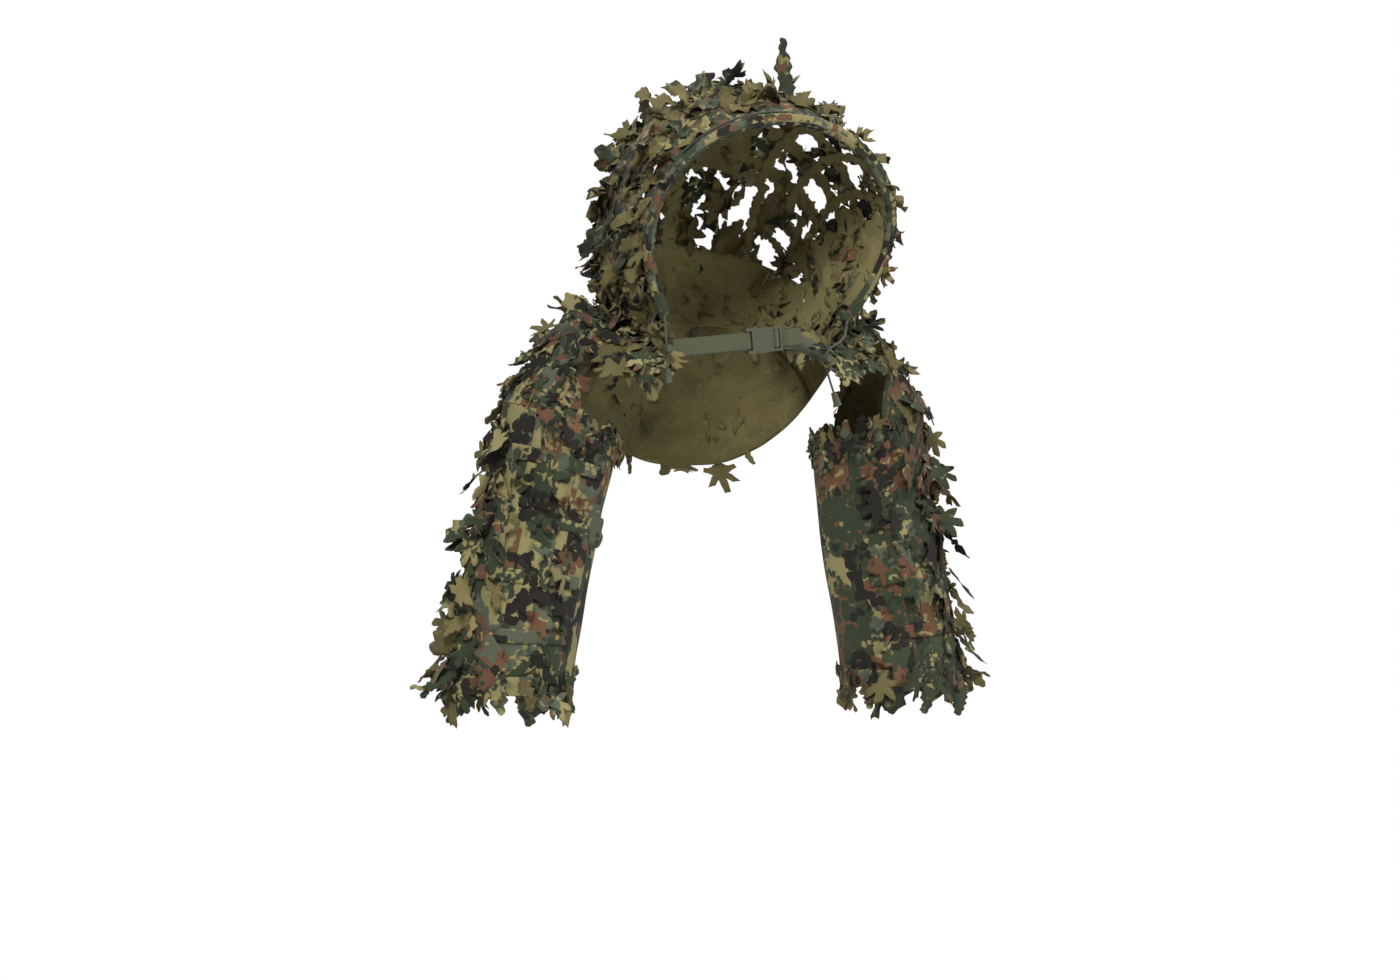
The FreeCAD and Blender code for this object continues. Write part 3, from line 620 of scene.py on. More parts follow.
def panel(node, surface, box, counts, relief, at, body, name=None, looks=PLAIN, slot="camo_cloth", flip=False,
          **cut):
    """One cloth sheet on a surface, in place of its CAD node."""
    grids = draped(surface, box, counts, relief, **cut)
    return belongs(cloth_panel(name or f"{node}_cloth", *grids, looks, flip, at), body, [node], slot)


def declare_sheet(piece):
    wide, long = piece["flat"]


# whether each side is made as a mirror of the left one
SIDES = {"right": True, "left": False}


# ---- cords
CORD_WIDE = 3 * MM
CORD_ROUTES = {
    "right": [(-0.1254, -0.1334, 0.0046), (-0.1275, -0.145, -0.012), (-0.1285, -0.1505, -0.030),
              (-0.128, -0.1505, -0.053), (-0.1265, -0.150, -0.068)],
    "left": [(0.1625, -0.0815, 0.006), (0.157, -0.093, -0.011), (0.145, -0.108, -0.024),
             (0.126, -0.122, -0.032), (0.1125, -0.128, -0.041), (0.112, -0.1285, -0.062),
             (0.1175, -0.128, -0.080), (0.124, -0.127, -0.097)],
}


def add_curve(name, route, wide, look):
    data = bpy.data.curves.new(name, "CURVE")
    data.dimensions = "3D"
    data.bevel_depth = wide / 2
    data.bevel_resolution = 5
    data.use_fill_caps = True
    data.resolution_u = 16
    line = data.splines.new("NURBS")
    line.points.add(len(route) - 1)
    for point, place in zip(line.points, route):
        point.co = (*place, 1)
    line.order_u = 3
    line.use_endpoint_u = True
    data.materials.append(look)
    return add_object(name, data)


def add_cords():
    for name, route in CORD_ROUTES.items():
        tail = add_curve(f"drawcord_tail_{name}_line", route, CORD_WIDE, CORD)
        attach(tail, "yoke")
        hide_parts(f"drawcord_tail_{name}")
        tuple(route[0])


add_cords()


# ---- cloth of the hood
def folds(depth, size, seed, tall):
    """Relief that runs in soft folds, tall times as long as they are wide."""
    def relief(base, u, v):
        stretched = base / (1, 1, tall)
        return depth * rough(stretched, size, seed) + 0.35 * depth * rough(stretched, size * 0.4, seed + 3)
    return relief


def add_hood_cloth():
    def scalloped(sign):
        def wave(u, v):
            top = (u - 0.05) / 0.15 if sign > 0 else (0.95 - u) / 0.15
            crest = 0.012 * np.sin(v * 31) + 0.008 * np.sin(v * 67 + 1)
            return u + sign * crest * top**3, v
        return wave

    for name, start, end, sign in (("right", 0.045, 0.20, 1), ("left", 0.80, 0.955, -1)):
        side = panel(f"hood_side_{name}", hood, (start, end, 0.05, 0.998), (34, 80),
                     folds(7 * MM, 0.045, 4 + sign, 1.6), (0.4 * sign, 0.2), None, looks=LIT_LINED,
                     wave=scalloped(sign))
        declare_sheet(side)
    back = panel("hood_back", hood, (0.19, 0.81, 0.66, 0.998), (90, 36), folds(5 * MM, 0.07, 9, 1.5),
                 (1.3, 0.1), None, looks=LIT_LINED)
    declare_sheet(back)
    crown = panel("hood_crown", hood, (0.395, 0.605, 0.02, 0.46), (40, 50), folds(3 * MM, 0.05, 12, 1.0),
                  (2.1, 0.3), "hood", looks=LIT_LINED)
    declare_sheet(crown)


def ragged(box, seed):
    """Cuts a strip's long edges into leaf-like notches."""
    narrow = box[3] - box[2] < box[1] - box[0]

    def wave(u, v):
        along, across, low, high = (u, v, box[2], box[3]) if narrow else (v, u, box[0], box[1])
        share = (across - low) / (high - low) - 0.5
        run = along * 60 + seed * 1.7 + 1.3 * np.sign(share)
        saw = abs((run / 2.1) % 1 - 0.5) + 0.5 * abs((run / 0.9) % 1 - 0.5)
        moved = (low + high) / 2 + share * (high - low) * (0.55 + 1.1 * saw)
        return (u, moved) if narrow else (moved, v)

    return wave


def join(name, pieces):
    """Joins meshes of one look and one body into one piece."""
    first = pieces[0]
    with bpy.context.temp_override(active_object=first, object=first, selected_objects=pieces,
                                   selected_editable_objects=pieces):
        bpy.ops.object.join()
    first.name = name
    first.data.name = name
    return first


def tape_set(name, surface, boxes, lift, body, nodes, counts, flip=False, cut=False, looks=PLAIN):
    """Strips on a surface as one piece; cut gives them leaf-like edges."""
    pieces = []
    for k, box in enumerate(boxes):
        relief = folds(1.0 * MM, 0.02, k + len(name), 1.0)
        grids = draped(surface, box, counts, relief, lift, wave=ragged(box, k) if cut else None)
        at = (0.13 * k + len(name) * 0.07, 0.31 * k)
        pieces.append(cloth_panel(f"{name}_{k}", *grids, looks, flip, at))
    belongs(join(name, pieces), body, nodes, "tape")


TAPE_LIFT = 2.2 * MM


def add_hood_tapes():
    net = {"cut": True, "looks": LIT_LINED}
    boxes = [(0.18, 0.82, back, back + 0.04) for back in (0.105, 0.20, 0.29, 0.385)]
    tape_set("hood_net_arches", hood, boxes, TAPE_LIFT, "hood", ["hood_arch_tapes"], (180, 5), **net)
    boxes = [(across, across + 0.018, 0.0, 0.46) for across in (0.22, 0.285, 0.35, 0.635, 0.70, 0.765)]
    tape_set("hood_net_lines", hood, boxes, 0.0, "hood", ["hood_length_tapes"], (5, 90), **net)
    boxes = [(across, across + 0.018, 0.44, 0.67) for across in (0.25, 0.34, 0.645, 0.735)]
    boxes.append((0.483, 0.517, 0.44, 0.67))
    nodes = ["rear_net_tapes", "rear_crown_tape"]
    tape_set("rear_net_lines", hood, boxes, 0.3 * MM, None, nodes, (5, 60), **net)
    box = (0.0, 1.0, 0.0, 0.10)
    tape_set("neck_binding_cloth", yoke, [box], TAPE_LIFT, "yoke", ["neck_binding"], (150, 6))
    tape_set("neck_seam_cloth", neck_band, [(0.0, 1.0, 0.0, 1.0)], 0.5 * MM, "yoke", [], (150, 6))
    box = (0.025, 0.975, 0.0, 0.095)
    tape_set("brim_hem", hood, [box], 0.5 * MM, "hood", [], (300, 9), looks=LIT_LINED)


def neck_band(around, down):
    """The seam allowance that closes the hood onto the yoke."""
    seam = hood(0.02 + 0.96 * around, 0.99 + 0 * down)
    return seam + stack(0, 0, (4 - 16 * down) * MM)


def swept(name, line, wide, deep, looks, ripple=0.0, around=16, at=0.0):
    """A soft oval tube along points, gathered crosswise by ripple."""
    line = np.asarray(line)
    ahead = unit(np.gradient(line, axis=0))
    out = square_to(ahead, line - line.mean(axis=0))
    face = np.cross(ahead, out)
    angle = np.linspace(0, math.tau, around, endpoint=False)
    run = np.concatenate([[0], np.cumsum(np.linalg.norm(np.diff(line, axis=0), axis=1))])
    pucker = 1 + ripple * np.sin(run * math.tau / 0.011 + 2 * np.sin(run * 90))[:, None]
    pucker = pucker + 0.5 * ripple * np.sin(run[:, None] * math.tau / 0.017 + 3 * angle)
    across = (deep * np.cos(angle) * pucker)[..., None]
    upright = (wide * np.sin(angle) * pucker)[..., None]
    points = line[:, None] + out[:, None] * upright + face[:, None] * across
    rows = len(line)
    index = np.arange(rows * around).reshape(rows, around)
    turn = np.roll(index, -1, axis=1)
    faces = np.stack([index[:-1], turn[:-1], turn[1:], index[1:]], -1).reshape(-1, 4).tolist()
    faces += [index[0, ::-1].tolist(), index[-1].tolist()]
    spots = stack(run[:, None] + at, angle * (wide + deep) / 2).reshape(-1, 2)
    return add_mesh(name, points.reshape(-1, 3), faces, spots, looks)


def add_brim():
    across = np.linspace(0.025, 0.975, 420)
    line = hood(across, 0.0) + (0, -1 * MM, 0)
    band = swept("brim_band", line, 8.5 * MM, 3.8 * MM, [CAMO], ripple=0.06, at=0.7)
    belongs(band, "hood", ["brim_channel"])
    # painted shade: a thin dark cord tube above the brim band, standing where the band casts a dark line of
    # shadow on the hood
    line = hood(across, 0.035) + outward(hood, across, 0.035) * 3.0 * MM
    shadow_piping = swept("brim_shadow_piping", line, 1.6 * MM, 1.6 * MM, [CORD], ripple=0.05, around=8, at=0.2)
    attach(shadow_piping, "hood")
    line = hood(np.linspace(0.028, 0.972, 40), 0.0) + (0, -MM, 0)
    belongs(add_curve("brim_cord", line, CORD_WIDE, CORD), "hood", ["brim_drawcord"], "cord")


add_hood_cloth()
add_hood_tapes()
add_brim()


# ---- cloth of the yoke
FLAP_END, BACK_FROM = 0.155, 0.335


def add_yoke():
    nodes = (
        "front_flap_right", "shoulder_panel_right", "back_panel", "shoulder_panel_left", "front_flap_left",
    )
    ends = (0.0, FLAP_END, BACK_FROM, 1 - BACK_FROM, 1 - FLAP_END, 1.0)
    for k, (node, start, end) in enumerate(zip(nodes, ends, ends[1:])):
        counts = (round(40 + 160 * (end - start)), 40)
        piece = panel(node, yoke, (start - 0.001, end + 0.001, 0.0, 1.0), counts,
                      folds(5 * MM, 0.05, 20 + k, 0.8), (0.5 * k, 0.9), "yoke")
        declare_sheet(piece)
    boxes = [(BACK_FROM + 0.01, 1 - BACK_FROM - 0.01, out, out + 0.055) for out in (0.30, 0.52, 0.74, 0.93)]
    tape_set("back_tape_rows", yoke, boxes, TAPE_LIFT + 2 * MM, "yoke", ["back_tapes"], (80, 5))
    boxes = [(start, start + 0.154, out, out + 0.09)
             for start in (FLAP_END + 0.012, 1 - BACK_FROM + 0.014) for out in (0.32, 0.62)]
    tape_set("shoulder_tape_rows", yoke, boxes, TAPE_LIFT + 3 * MM, "yoke", ["shoulder_tapes"], (50, 6))


add_yoke()


# ---- sleeves
SEAM_FRONT, SEAM_BACK = 0.13, 0.87
HEM_FROM = 0.935
# each sleeve's place on the printed cloth, and the outer panel's width and height
SLEEVE_PRINT = {}
SLEEVE_LOOKS = {"right": PLAIN, "left": (RED_CAMO, OLIVE_CLOTH)}


def sleeve_relief(seed):
    """Hanging folds, and gathers that the cuff's elastic pulls in."""
    def relief(base, u, v):
        hang = base / (1, 1, 3.5)
        soft = 5 * MM * rough(hang, 0.07, seed) + 2.5 * MM * rough(hang, 0.03, seed + 5) - 2 * MM
        pull = np.clip((v - 0.80) / 0.15, 0, 1) ** 2
        pleats = np.sin(u * math.tau * 26 + 3 * np.sin(u * 40 + seed)) * 3.0 * MM
        return soft * (1 - 0.5 * pull) * np.clip(v / 0.08, 0.15, 1) + pleats * pull - 2 * MM * pull
    return relief


def add_sleeve(name, flip):
    tag = f"sleeve_{name}"
    relief = sleeve_relief(31 if flip else 47)
    start = 0.9 if flip else 3.3
    looks = SLEEVE_LOOKS[name]
    common = {"body": tag, "looks": looks, "flip": flip}

    def hem_relief(base, u, v):
        return relief(base, u, 0 * v + 1.0) + 0.8 * MM

    def elastic_relief(base, u, v):
        return hem_relief(base, u, v) - 3.6 * MM

    outer = panel(f"{tag}_outer", sleeve, (SEAM_FRONT, SEAM_BACK, 0, HEM_FROM), (150, 120), relief,
                  (start, 0), **common)
    SLEEVE_PRINT[name] = (start, *outer["flat"])
    inner = panel(f"{tag}_inner", sleeve, (SEAM_BACK, 1 + SEAM_FRONT, 0, HEM_FROM), (60, 120), relief,
                  (start + 1, 0.4), **common)
    head = panel(f"{tag}_head", sleeve_head, (0, 1, 0, 1.0), (90, 50), folds(4 * MM, 0.05, 60, 1.0),
                 (start + 2, 0.2), **common)
    panel(f"{tag}_cuff_hem", sleeve, (-0.02, 0.975, HEM_FROM - 0.004, 1.0), (260, 12), hem_relief,
          (start + 3, 0.1), name=f"{tag}_hem_cloth", thick=1.6 * MM, **common)
    common["looks"] = (ELASTIC, ELASTIC)
    panel(f"{tag}_cuff_elastic", sleeve, (-0.02, 0.975, 0.955, 0.985), (260, 6), elastic_relief,
          (0, 0), name=f"{tag}_elastic_band", slot="elastic", thick=1.4 * MM, **common)
    for piece in (outer, inner, head):
        declare_sheet(piece)

    def on_cloth(extra):
        def lifted(u, v):
            base = sleeve(u, v)
            return base + outward(sleeve, u, v) * (relief(base, u, v)[..., None] + extra)
        return lifted

    boxes = [(around, around + 0.028, 0.0, 0.94) for around in (0.24, 0.36, 0.50, 0.64, 0.76)]
    nodes = [f"{tag}_long_tapes"]
    tape_set(f"{tag}_tapes_down", on_cloth(1.2 * MM), boxes, 0.0, tag, nodes, (5, 110), flip, looks=looks)
    boxes = [(0.15, 0.85, down, down + 0.05) for down in (0.13, 0.34, 0.55, 0.76)]
    nodes = [f"{tag}_cross_tapes"]
    tape_set(f"{tag}_tapes_round", on_cloth(2.4 * MM), boxes, 0.0, tag, nodes, (130, 6), flip, looks=looks)


for side_name, side_flip in SIDES.items():
    add_sleeve(side_name, side_flip)


# ---- leaves
# A flat leaf of unit length along x, with its stem at 0, in triangles; edge: 0 at its middle, 1 at its rim.
Outline = namedtuple("Outline", "points triangles rim edge")


def lobed(lobes, teeth, jag, around=48):
    """A leaf drawn around its middle. lobes: (angle in degrees from the tip, reach, width)."""
    angle = np.linspace(-math.pi, math.pi, around, endpoint=False)
    reach = np.full(around, 0.22)
    for place, far, wide in lobes:
        for sign in (1, -1):
            away = abs((np.degrees(angle) - sign * place + 180) % 360 - 180) / wide
            reach = np.maximum(reach, far * (1 - 0.9 * away**1.4))
    reach = reach * (1 + jag * np.where(np.arange(around) * teeth // around % 2, 1, -1))
    middle = np.array((0.46, 0.0))
    stem = abs(abs(np.degrees(angle)) - 180) < 6
    reach = np.where(stem, middle[0], reach)
    ring = middle + stack(reach * np.cos(angle), reach * np.sin(angle))
    shares = (0.4, 0.75, 1.0)
    points = np.vstack([middle, *(ring * share + middle * (1 - share) for share in shares)])
    edge = np.append(0, np.repeat(shares, around))
    index = 1 + np.arange(3 * around).reshape(3, around)
    after = np.roll(index, -1, axis=1)
    fan = np.stack([np.zeros(around, int), index[0], after[0]], -1)
    bands = []
    for low in (0, 1):
        bands.append(np.stack([index[low], index[low + 1], after[low + 1]], -1))
        bands.append(np.stack([index[low], after[low + 1], after[low]], -1))
    return Outline(points, np.vstack([fan, *bands]), index[2], edge)


def ribbon(half_width, steps=22):
    """A leaf drawn along its length; half_width(share) gives each side's width."""
    share = np.linspace(0, 1, steps)
    left, right = half_width(share, 1), half_width(share, -1)
    across = np.array((-1, -0.5, 0, 0.5, 1))
    wide = np.where(across > 0, left[:, None], right[:, None])
    points = stack(share[:, None], across * wide).reshape(-1, 2)
    quads = grid_faces(steps, 5)
    triangles = np.vstack([quads[:, [0, 1, 2]], quads[:, [0, 2, 3]]])
    edge = np.broadcast_to(abs(across), (steps, 5)).ravel()
    return Outline(points, triangles, border(steps, 5), edge)


def notched(wide, notches, depth, blunt=0.6, phase=0.0):
    def half_width(share, side):
        body = wide * np.sin(math.pi * np.clip(share * 0.96 + 0.03, 0, 1)) ** blunt
        saw = abs(((share * notches + phase + 0.25 * side) % 1) - 0.5) * 2
        return body * (1 - depth * saw) + 0.012
    return half_width


MAPLE = lobed([(0, 0.56, 38), (54, 0.54, 34), (108, 0.46, 36), (176, 0.44, 34)], 24, 0.07)
BROAD_MAPLE = lobed([(0, 0.54, 52), (66, 0.48, 46), (124, 0.40, 44), (176, 0.44, 44)], 24, 0.10)
FINGERED = lobed([(6, 0.56, 30), (46, 0.55, 24), (90, 0.50, 26), (140, 0.42, 34), (178, 0.44, 26)], 48, 0.05)
SPIKY = lobed([(0, 0.56, 32), (50, 0.50, 28), (104, 0.42, 32), (178, 0.44, 28)], 48, 0.08)
OAK = ribbon(notched(0.30, 4, 0.42))
BLUNT_OAK = ribbon(notched(0.36, 3, 0.5, 0.6, 0.1))
WILLOW_OAK = ribbon(notched(0.22, 6, 0.40, 0.5, 0.3))
STRIP = ribbon(notched(0.12, 6, 0.45, 0.4))
OUTLINES = [MAPLE, BROAD_MAPLE, FINGERED, SPIKY, OAK, BLUNT_OAK, WILLOW_OAK, STRIP]
WHOLE = [MAPLE, BROAD_MAPLE, BROAD_MAPLE, OAK, BLUNT_OAK, WILLOW_OAK]
BROAD = [MAPLE, BROAD_MAPLE, BLUNT_OAK]
LEAF_THICK = 0.5 * MM
STEM_IN = 5 * MM


LEAST_BEND = 0.5


def curl(along, height, bend):
    """Rolls a strip about a line across it; bend is one over the radius."""
    bend = np.where(abs(bend) < LEAST_BEND, LEAST_BEND, bend)
    radius = 1 / bend - height
    return radius * np.sin(bend * along), 1 / bend - radius * np.cos(bend * along)


class Leaves:
    """Gathers many leaves and makes them one piece."""

    def __init__(self, seed):
        self.random = np.random.default_rng(seed)
        self.parts = []
        self.count = 0

    def add(
        self, outline, stems, headings, faces, long, bends, cups, twists, back_out, crumple, print_at=None
    ):
        """Places one outline at many stems. back_out: leaves whose plain side shows.

        print_at: the place and turn of each leaf on the printed cloth.
        """
        number = len(stems)
        rng = self.random
        squeeze, skew = rng.uniform(0.72, 1.08, (number, 1)), rng.uniform(-0.3, 0.3, (number, 1))
        x, y = outline.points.T
        flat = stack(x + skew * y, y * squeeze) * long[:, None, None]
        size = flat.shape[1]
        ripple = rng.uniform(0.3, 1.0, (number, 1)) * crumple * outline.edge**1.5
        ripple = ripple * np.sin(flat[..., 0] * 170 + flat[..., 1] * 130 + rng.uniform(0, 6.28, (number, 1)))
        skins = []
        for side in (0.5, -0.5):
            y, z = curl(flat[..., 1], ripple + side * LEAF_THICK, cups[:, None])
            x, z = curl(flat[..., 0], z, bends[:, None])
            turn = twists[:, None] * flat[..., 0]
            y, z = y * np.cos(turn) - z * np.sin(turn), y * np.sin(turn) + z * np.cos(turn)
            skins.append(stack(x, y, z))
        across = unit(np.cross(faces, headings))
        faces = np.cross(headings, across)
        axes = np.stack([headings, across, faces], 1)
        points = np.stack([np.einsum("nvk,nkj->nvj", skin, axes) + stems[:, None] for skin in skins], 1)
        triangle = outline.triangles
        rim, after = outline.rim, np.roll(outline.rim, -1)
        walls = [np.stack([rim, rim + size, after + size], -1), np.stack([rim, after + size, after], -1)]
        faces = np.vstack([triangle, triangle[:, ::-1] + size, *walls])
        kinds = np.repeat([0, 1, 0], [len(triangle), len(triangle), 2 * len(rim)])
        kinds = np.where(back_out[:, None], 1 - kinds, kinds)
        starts = self.count + np.arange(number) * 2 * size
        if print_at is None:
            print_at = rng.uniform(0, 4, (number, 2)), rng.uniform(0, 6.28, number)
        place, turn = print_at
        turn = turn[:, None]
        spots = stack(
            flat[..., 0] * np.cos(turn) - flat[..., 1] * np.sin(turn),
            flat[..., 0] * np.sin(turn) + flat[..., 1] * np.cos(turn),
        ) + place[:, None]
        tones = rng.uniform(-1, 1, number)
        self.parts.append((
            points.reshape(-1, 3),
            (faces[None] + starts[:, None, None]).reshape(-1, 3),
            np.stack([spots, spots], 1).reshape(-1, 2),
            kinds.ravel(),
            np.repeat(tones, 2 * size),
            np.tile(outline.edge, 2 * number),
        ))
        self.count += number * 2 * size

    def build(self, name, body, node, flip=False, looks=PLAIN):
        points, faces, spots, kinds, tones, edge = (np.concatenate(column) for column in zip(*self.parts))
        if flip:
            points = points * MIRROR
            faces = faces[:, ::-1]
        cover = add_mesh(name, points, faces, spots, looks, kinds, tone=tones, edge=edge)
        belongs(cover, body, [node], "leaf_cloth")


def scatter(rng, box, rows, columns, jitter):
    """Spots in staggered rows over a patch of a surface, pushed about a little."""
    u0, u1, v0, v1 = box
    u, v = np.meshgrid(np.arange(columns) + 0.5, np.arange(rows) + 0.5)
    u = u + 0.5 * (np.arange(rows)[:, None] % 2) - 0.25
    u = u + rng.uniform(-jitter, jitter, u.shape)
    v = v + rng.uniform(-jitter, jitter, v.shape)
    u = u0 + (u1 - u0) * np.clip(u / columns, 0, 1)
    v = v0 + (v1 - v0) * np.clip(v / rows, 0, 1)
    return u.ravel(), v.ravel()


def grow(
    leaves, surface, box, rows, columns, long, tilt, jitter=0.45, fall=0.9, back_share=0.4, lift=3 * MM,
    bend=(-14, 14), cup=(-30, 30), pull=(0, 0, 0), wander=0.55, spin=0.35, crumple=5 * MM, kinds=OUTLINES,
    cloth=None,
):
    """Leaves that hang from stems on a surface, and stand up from it by tilt, in degrees.

    fall, pull and wander set their way along it, bend and cup one over the radius of their curl.
    cloth gives a stem's place on the printed cloth.
    """
    rng = leaves.random
    u, v = scatter(rng, box, rows, columns, jitter)
    base, normal = surface(u, v), outward(surface, u, v)
    steep = 1 - abs(normal[:, 2:3])
    way = rng.normal(0, wander, base.shape) + np.array((0, 0, -1)) * fall * (0.35 + steep) + np.asarray(pull)
    way = square_to(normal, way)
    lean = np.radians(rng.uniform(*tilt, (len(u), 1)))
    heading = way * np.cos(lean) + normal * np.sin(lean)
    face = unit(normal * np.cos(lean) - way * np.sin(lean) + rng.normal(0, spin, (len(u), 3)))
    face = square_to(heading, face)
    along = unit(surface(u + TINY, v) - surface(u - TINY, v))
    down = np.cross(normal, along)
    turn = np.arctan2((way * down).sum(1), (way * along).sum(1))
    pick = rng.integers(0, len(kinds), len(u))
    for kind in np.unique(pick):
        mine = pick == kind
        number = int(mine.sum())
        print_at = None if cloth is None else (cloth(u[mine], v[mine]), turn[mine])
        leaves.add(
            kinds[kind], (base + normal * lift - heading * STEM_IN)[mine], heading[mine], face[mine],
            rng.uniform(*long, number), rng.uniform(*bend, number), rng.uniform(*cup, number),
            rng.normal(0, 5, number), rng.random(number) < back_share, crumple, print_at,
        )


def add_hood_leaves():
    front = Leaves(101)
    over = partial(grow, front, hood, crumple=8 * MM)
    over((0.03, 0.97, 0.13, 0.46), 5, 24, (0.046, 0.072), (-4, 26), back_share=0.5, pull=(0, 0.3, 0))
    over((0.03, 0.97, 0.045, 0.15), 3, 30, (0.036, 0.056), (0, 24), fall=0.3, back_share=0.55,
         pull=(0, 0.7, 0.1), wander=0.5)
    over((0.25, 0.75, 0.08, 0.40), 2, 12, (0.044, 0.062), (30, 62))
    over((0.76, 0.96, 0.05, 0.20), 2, 6, (0.040, 0.056), (25, 60), back_share=0.5)
    over((0.36, 0.66, 0.13, 0.19), 1, 8, (0.044, 0.058), (4, 22), back_share=0.8, pull=(0, -1.5, -0.3),
         crumple=6 * MM, kinds=WHOLE)
    # the tall leaf on the crown
    stem = hood(np.array([0.555]), np.array([0.14]))
    upward, facing = unit(np.array([[(-0.25, 0.0, 1.0)], [(0.2, -1.0, 0.05)]]))
    long, bend, cup, twist = np.array([[0.087], [4.0], [9.0], [4.0]])
    front.add(WILLOW_OAK, stem, upward, facing, long, bend, cup, twist, np.array([False]), 3 * MM)
    # the leaves that hang over the brim
    over((0.09, 0.36, 0.025, 0.065), 1, 8, (0.031, 0.043), (0, 12), pull=(0.3, -0.5, -1.2),
         crumple=6 * MM, kinds=[WILLOW_OAK, STRIP, OAK, MAPLE])
    over((0.62, 0.92, 0.02, 0.06), 1, 5, (0.032, 0.046), (2, 22), back_share=0.5, pull=(0.4, -0.4, -0.8),
         crumple=6 * MM, kinds=[MAPLE, OAK, BLUNT_OAK])
    front.build("hood_leaf_cover", None, "hood_leaves")
    rear = Leaves(102)
    over = partial(grow, rear, hood, crumple=8 * MM)
    over((0.04, 0.96, 0.46, 0.95), 7, 22, (0.046, 0.072), (0, 24))
    over((0.16, 0.84, 0.44, 0.62), 2, 15, (0.055, 0.080), (-14, 10), wander=1.0, back_share=0.3)
    rear.build("rear_leaf_cover", None, "rear_hood_leaves")


def add_yoke_leaves():
    cover = Leaves(103)
    grow(cover, yoke, (0.01, 0.99, 0.04, 0.97), 5, 30, (0.042, 0.062), (0, 10), back_share=0.15, spin=0.2,
         cup=(-16, 10), crumple=4 * MM)
    cover.build("yoke_leaf_cover", "yoke", "yoke_leaves")


def add_sleeve_leaves(name, flip):
    tag = f"sleeve_{name}"
    looks = SLEEVE_LOOKS[name]
    start, wide, deep = SLEEVE_PRINT[name]

    def print_place(u, v):
        return stack(start + (u - SEAM_FRONT) / (SEAM_BACK - SEAM_FRONT) * wide, v / HEM_FROM * deep)

    cover = Leaves(110 if flip else 120)
    over, cap = (partial(grow, cover, surface) for surface in (sleeve, sleeve_head))
    # flat leaves whose print runs on from the sleeve's
    over((0.17, 0.83, 0.04, 0.84), 7, 7, (0.060, 0.095), (0.5, 3.5), 0.35, fall=2.2, back_share=0.0,
         lift=2.5 * MM, bend=(-3, 1), cup=(-14, -10), wander=0.5, spin=0.03, crumple=1.5 * MM,
         kinds=WHOLE, cloth=print_place)
    # leaves that stand out along the outside, then smaller ones there and all over
    over((0.41, 0.59, 0.03, 0.90), 9, 2, (0.048, 0.064), (6, 30), 0.35, fall=1.2, back_share=0.5,
         spin=1.4, lift=12 * MM, wander=0.35, kinds=BROAD, crumple=3 * MM)
    over((0.36, 0.64, 0.02, 0.93), 9, 2, (0.040, 0.056), (3, 16), back_share=0.25, spin=0.3)
    over((0.20, 0.80, 0.05, 0.90), 4, 4, (0.038, 0.052), (4, 18), fall=1.6, back_share=0.05,
         bend=(-8, 3), spin=0.2)
    # two rows round the sleeve's top, over its inner side
    over((0.72, 1.28, 0.002, 0.02), 1, 22, (0.030, 0.044), (0, 10), fall=1.2, back_share=0.1,
         cup=(-14, 0), lift=1.5 * MM)
    over((0.74, 1.26, 0.004, 0.03), 1, 18, (0.024, 0.036), (-8, 8), fall=-1.6, back_share=0.2,
         lift=1.5 * MM)
    cap((0.02, 0.98, 0.10, 0.96), 4, 10, (0.040, 0.058), (0, 6), back_share=0.1, spin=0.12, cup=(-14, 4),
        crumple=3 * MM, lift=2 * MM)
    cap((0.25, 0.75, 0.10, 0.85), 4, 3, (0.034, 0.048), (6, 20), back_share=0.2, kinds=[SPIKY, STRIP],
        spin=0.7)
    cover.build(f"{tag}_leaf_cover", tag, f"{tag}_leaves", flip, looks)
    fringe = Leaves(111 if flip else 121)
    grow(fringe, sleeve, (0.0, 1.0, 0.90, 0.985), 2, 15, (0.044, 0.068), (-6, 14), fall=2.0, back_share=0.15,
         lift=2 * MM, kinds=[MAPLE, BROAD_MAPLE, OAK, BLUNT_OAK, WILLOW_OAK])
    grow(fringe, sleeve, (0.46, 0.56, 0.90, 0.95), 1, 4, (0.050, 0.066), (35, 60), back_share=0.2,
         kinds=[STRIP, WILLOW_OAK])
    fringe.build(f"{tag}_cuff_fringe", tag, f"{tag}_cuff_leaves", flip, looks)


add_hood_leaves()
add_yoke_leaves()
for side_name, side_flip in SIDES.items():
    add_sleeve_leaves(side_name, side_flip)


# ---- chest strap and fittings
STRAP_TURN, STRAP_RISE = math.radians(3.5), math.radians(6)
STRAP_X = np.array((
    math.cos(STRAP_TURN) * math.cos(STRAP_RISE),
    math.sin(STRAP_TURN) * math.cos(STRAP_RISE),
    math.sin(STRAP_RISE),
))
STRAP_Z = np.array((math.sin(STRAP_TURN), -math.cos(STRAP_TURN), 0))
STRAP_Y = np.cross(STRAP_Z, STRAP_X)
MOUTH = np.array((31.5, -118, -25)) * MM
# the bar that the right web goes round, in millimetres along the strap
BAR = -31.5
WEB_THICK = 1.5 * MM


def on_strap(x, z):
    """A point of the strap's middle line from the buckle's own x and z in millimetres."""
    return MOUTH + STRAP_X * x * MM + STRAP_Z * z * MM


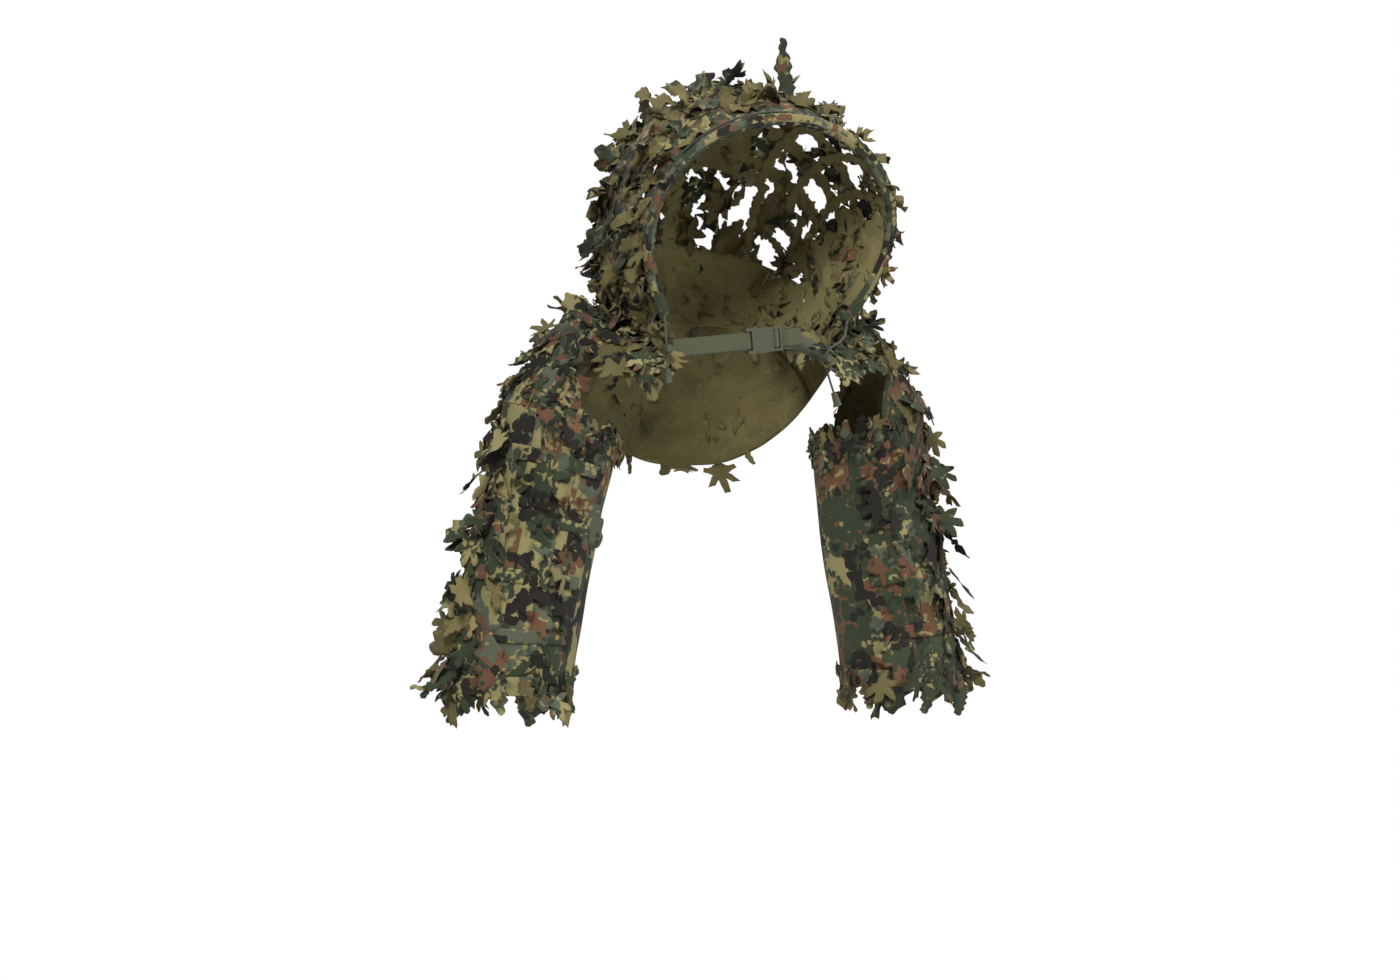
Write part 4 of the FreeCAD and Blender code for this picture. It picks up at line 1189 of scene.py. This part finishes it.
def web(name, line, samples, at=0.0):
    """Flat webbing along a smooth line; its width stays along the strap's own y."""
    line = through(line, np.linspace(0, 1, samples))
    ahead = unit(np.gradient(line, axis=0))
    side = square_to(ahead, STRAP_Y)
    up = np.cross(ahead, side)
    share = np.linspace(-0.5, 0.5, 9)
    crown = up[:, None] * (WEB_THICK / 2 * (1 - (abs(share) * 2) ** 6 * 0.6))[:, None]
    middle = line[:, None] + side[:, None] * (share * WEB_WIDE)[:, None]
    return cloth_panel(name, middle - crown, middle + crown, looks=(WEBBING, WEBBING), at=(at, 0))


def add_strap():
    right = [on_strap(BAR + x, z) for x, z in (
        (-111, 1.2), (-70, 1.0), (-25, 1.0), (-6, 2.0), (1, 3.1), (3.2, 0),
        (1, -3.1), (-6, -2.2), (-25, -1.0), (-70, -1.0), (-111, -1.2),
    )]
    belongs(web("strap_right_web", right, 160), "yoke", ["strap_right"], "webbing")
    start, toward = on_strap(5, -6.2), on_strap(45, -6.2)
    end = np.array((0.139, -0.060, -0.042))
    before = end + np.array((-0.040, -0.032, 0.008))
    line = bezier(start, toward, before, end, np.linspace(0, 1, 7)[:, None])
    piece = web("strap_left_web", line, 80, at=0.3)
    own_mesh(piece)
    belongs(piece, "yoke", ["strap_left"], "webbing")
    woven = [on_strap(x, z) for x, z in (
        (3, -5.0), (5.5, -2.5), (7.1, 2.5), (10.2, 5.2), (13.4, 2.5),
        (16.0, -1.2), (21, -1.6), (29, 0.6), (37, -1.0), (50, -0.6),
    )]
    piece = web("strap_woven_end", woven, 90, at=0.6)
    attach(piece, "tongue")


def finish_fittings():
    """Gives the CAD nodes that stay their plastic or steel."""
    for name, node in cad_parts.items():
        if not node.hide_render:
            node.data.materials.clear()
            node.data.materials.append(STEEL if "spring" in name else PLASTIC)


def press_springs():
    """Gives each cord lock's spring a mesh of its own."""
    for side in SIDES:
        name = f"cord_lock_spring_{side}"
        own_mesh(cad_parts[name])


add_strap()
finish_fittings()
press_springs()

low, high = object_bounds()
{"cad": [list(cad_low), list(cad_high)], "visual": [list(low), list(high)]}
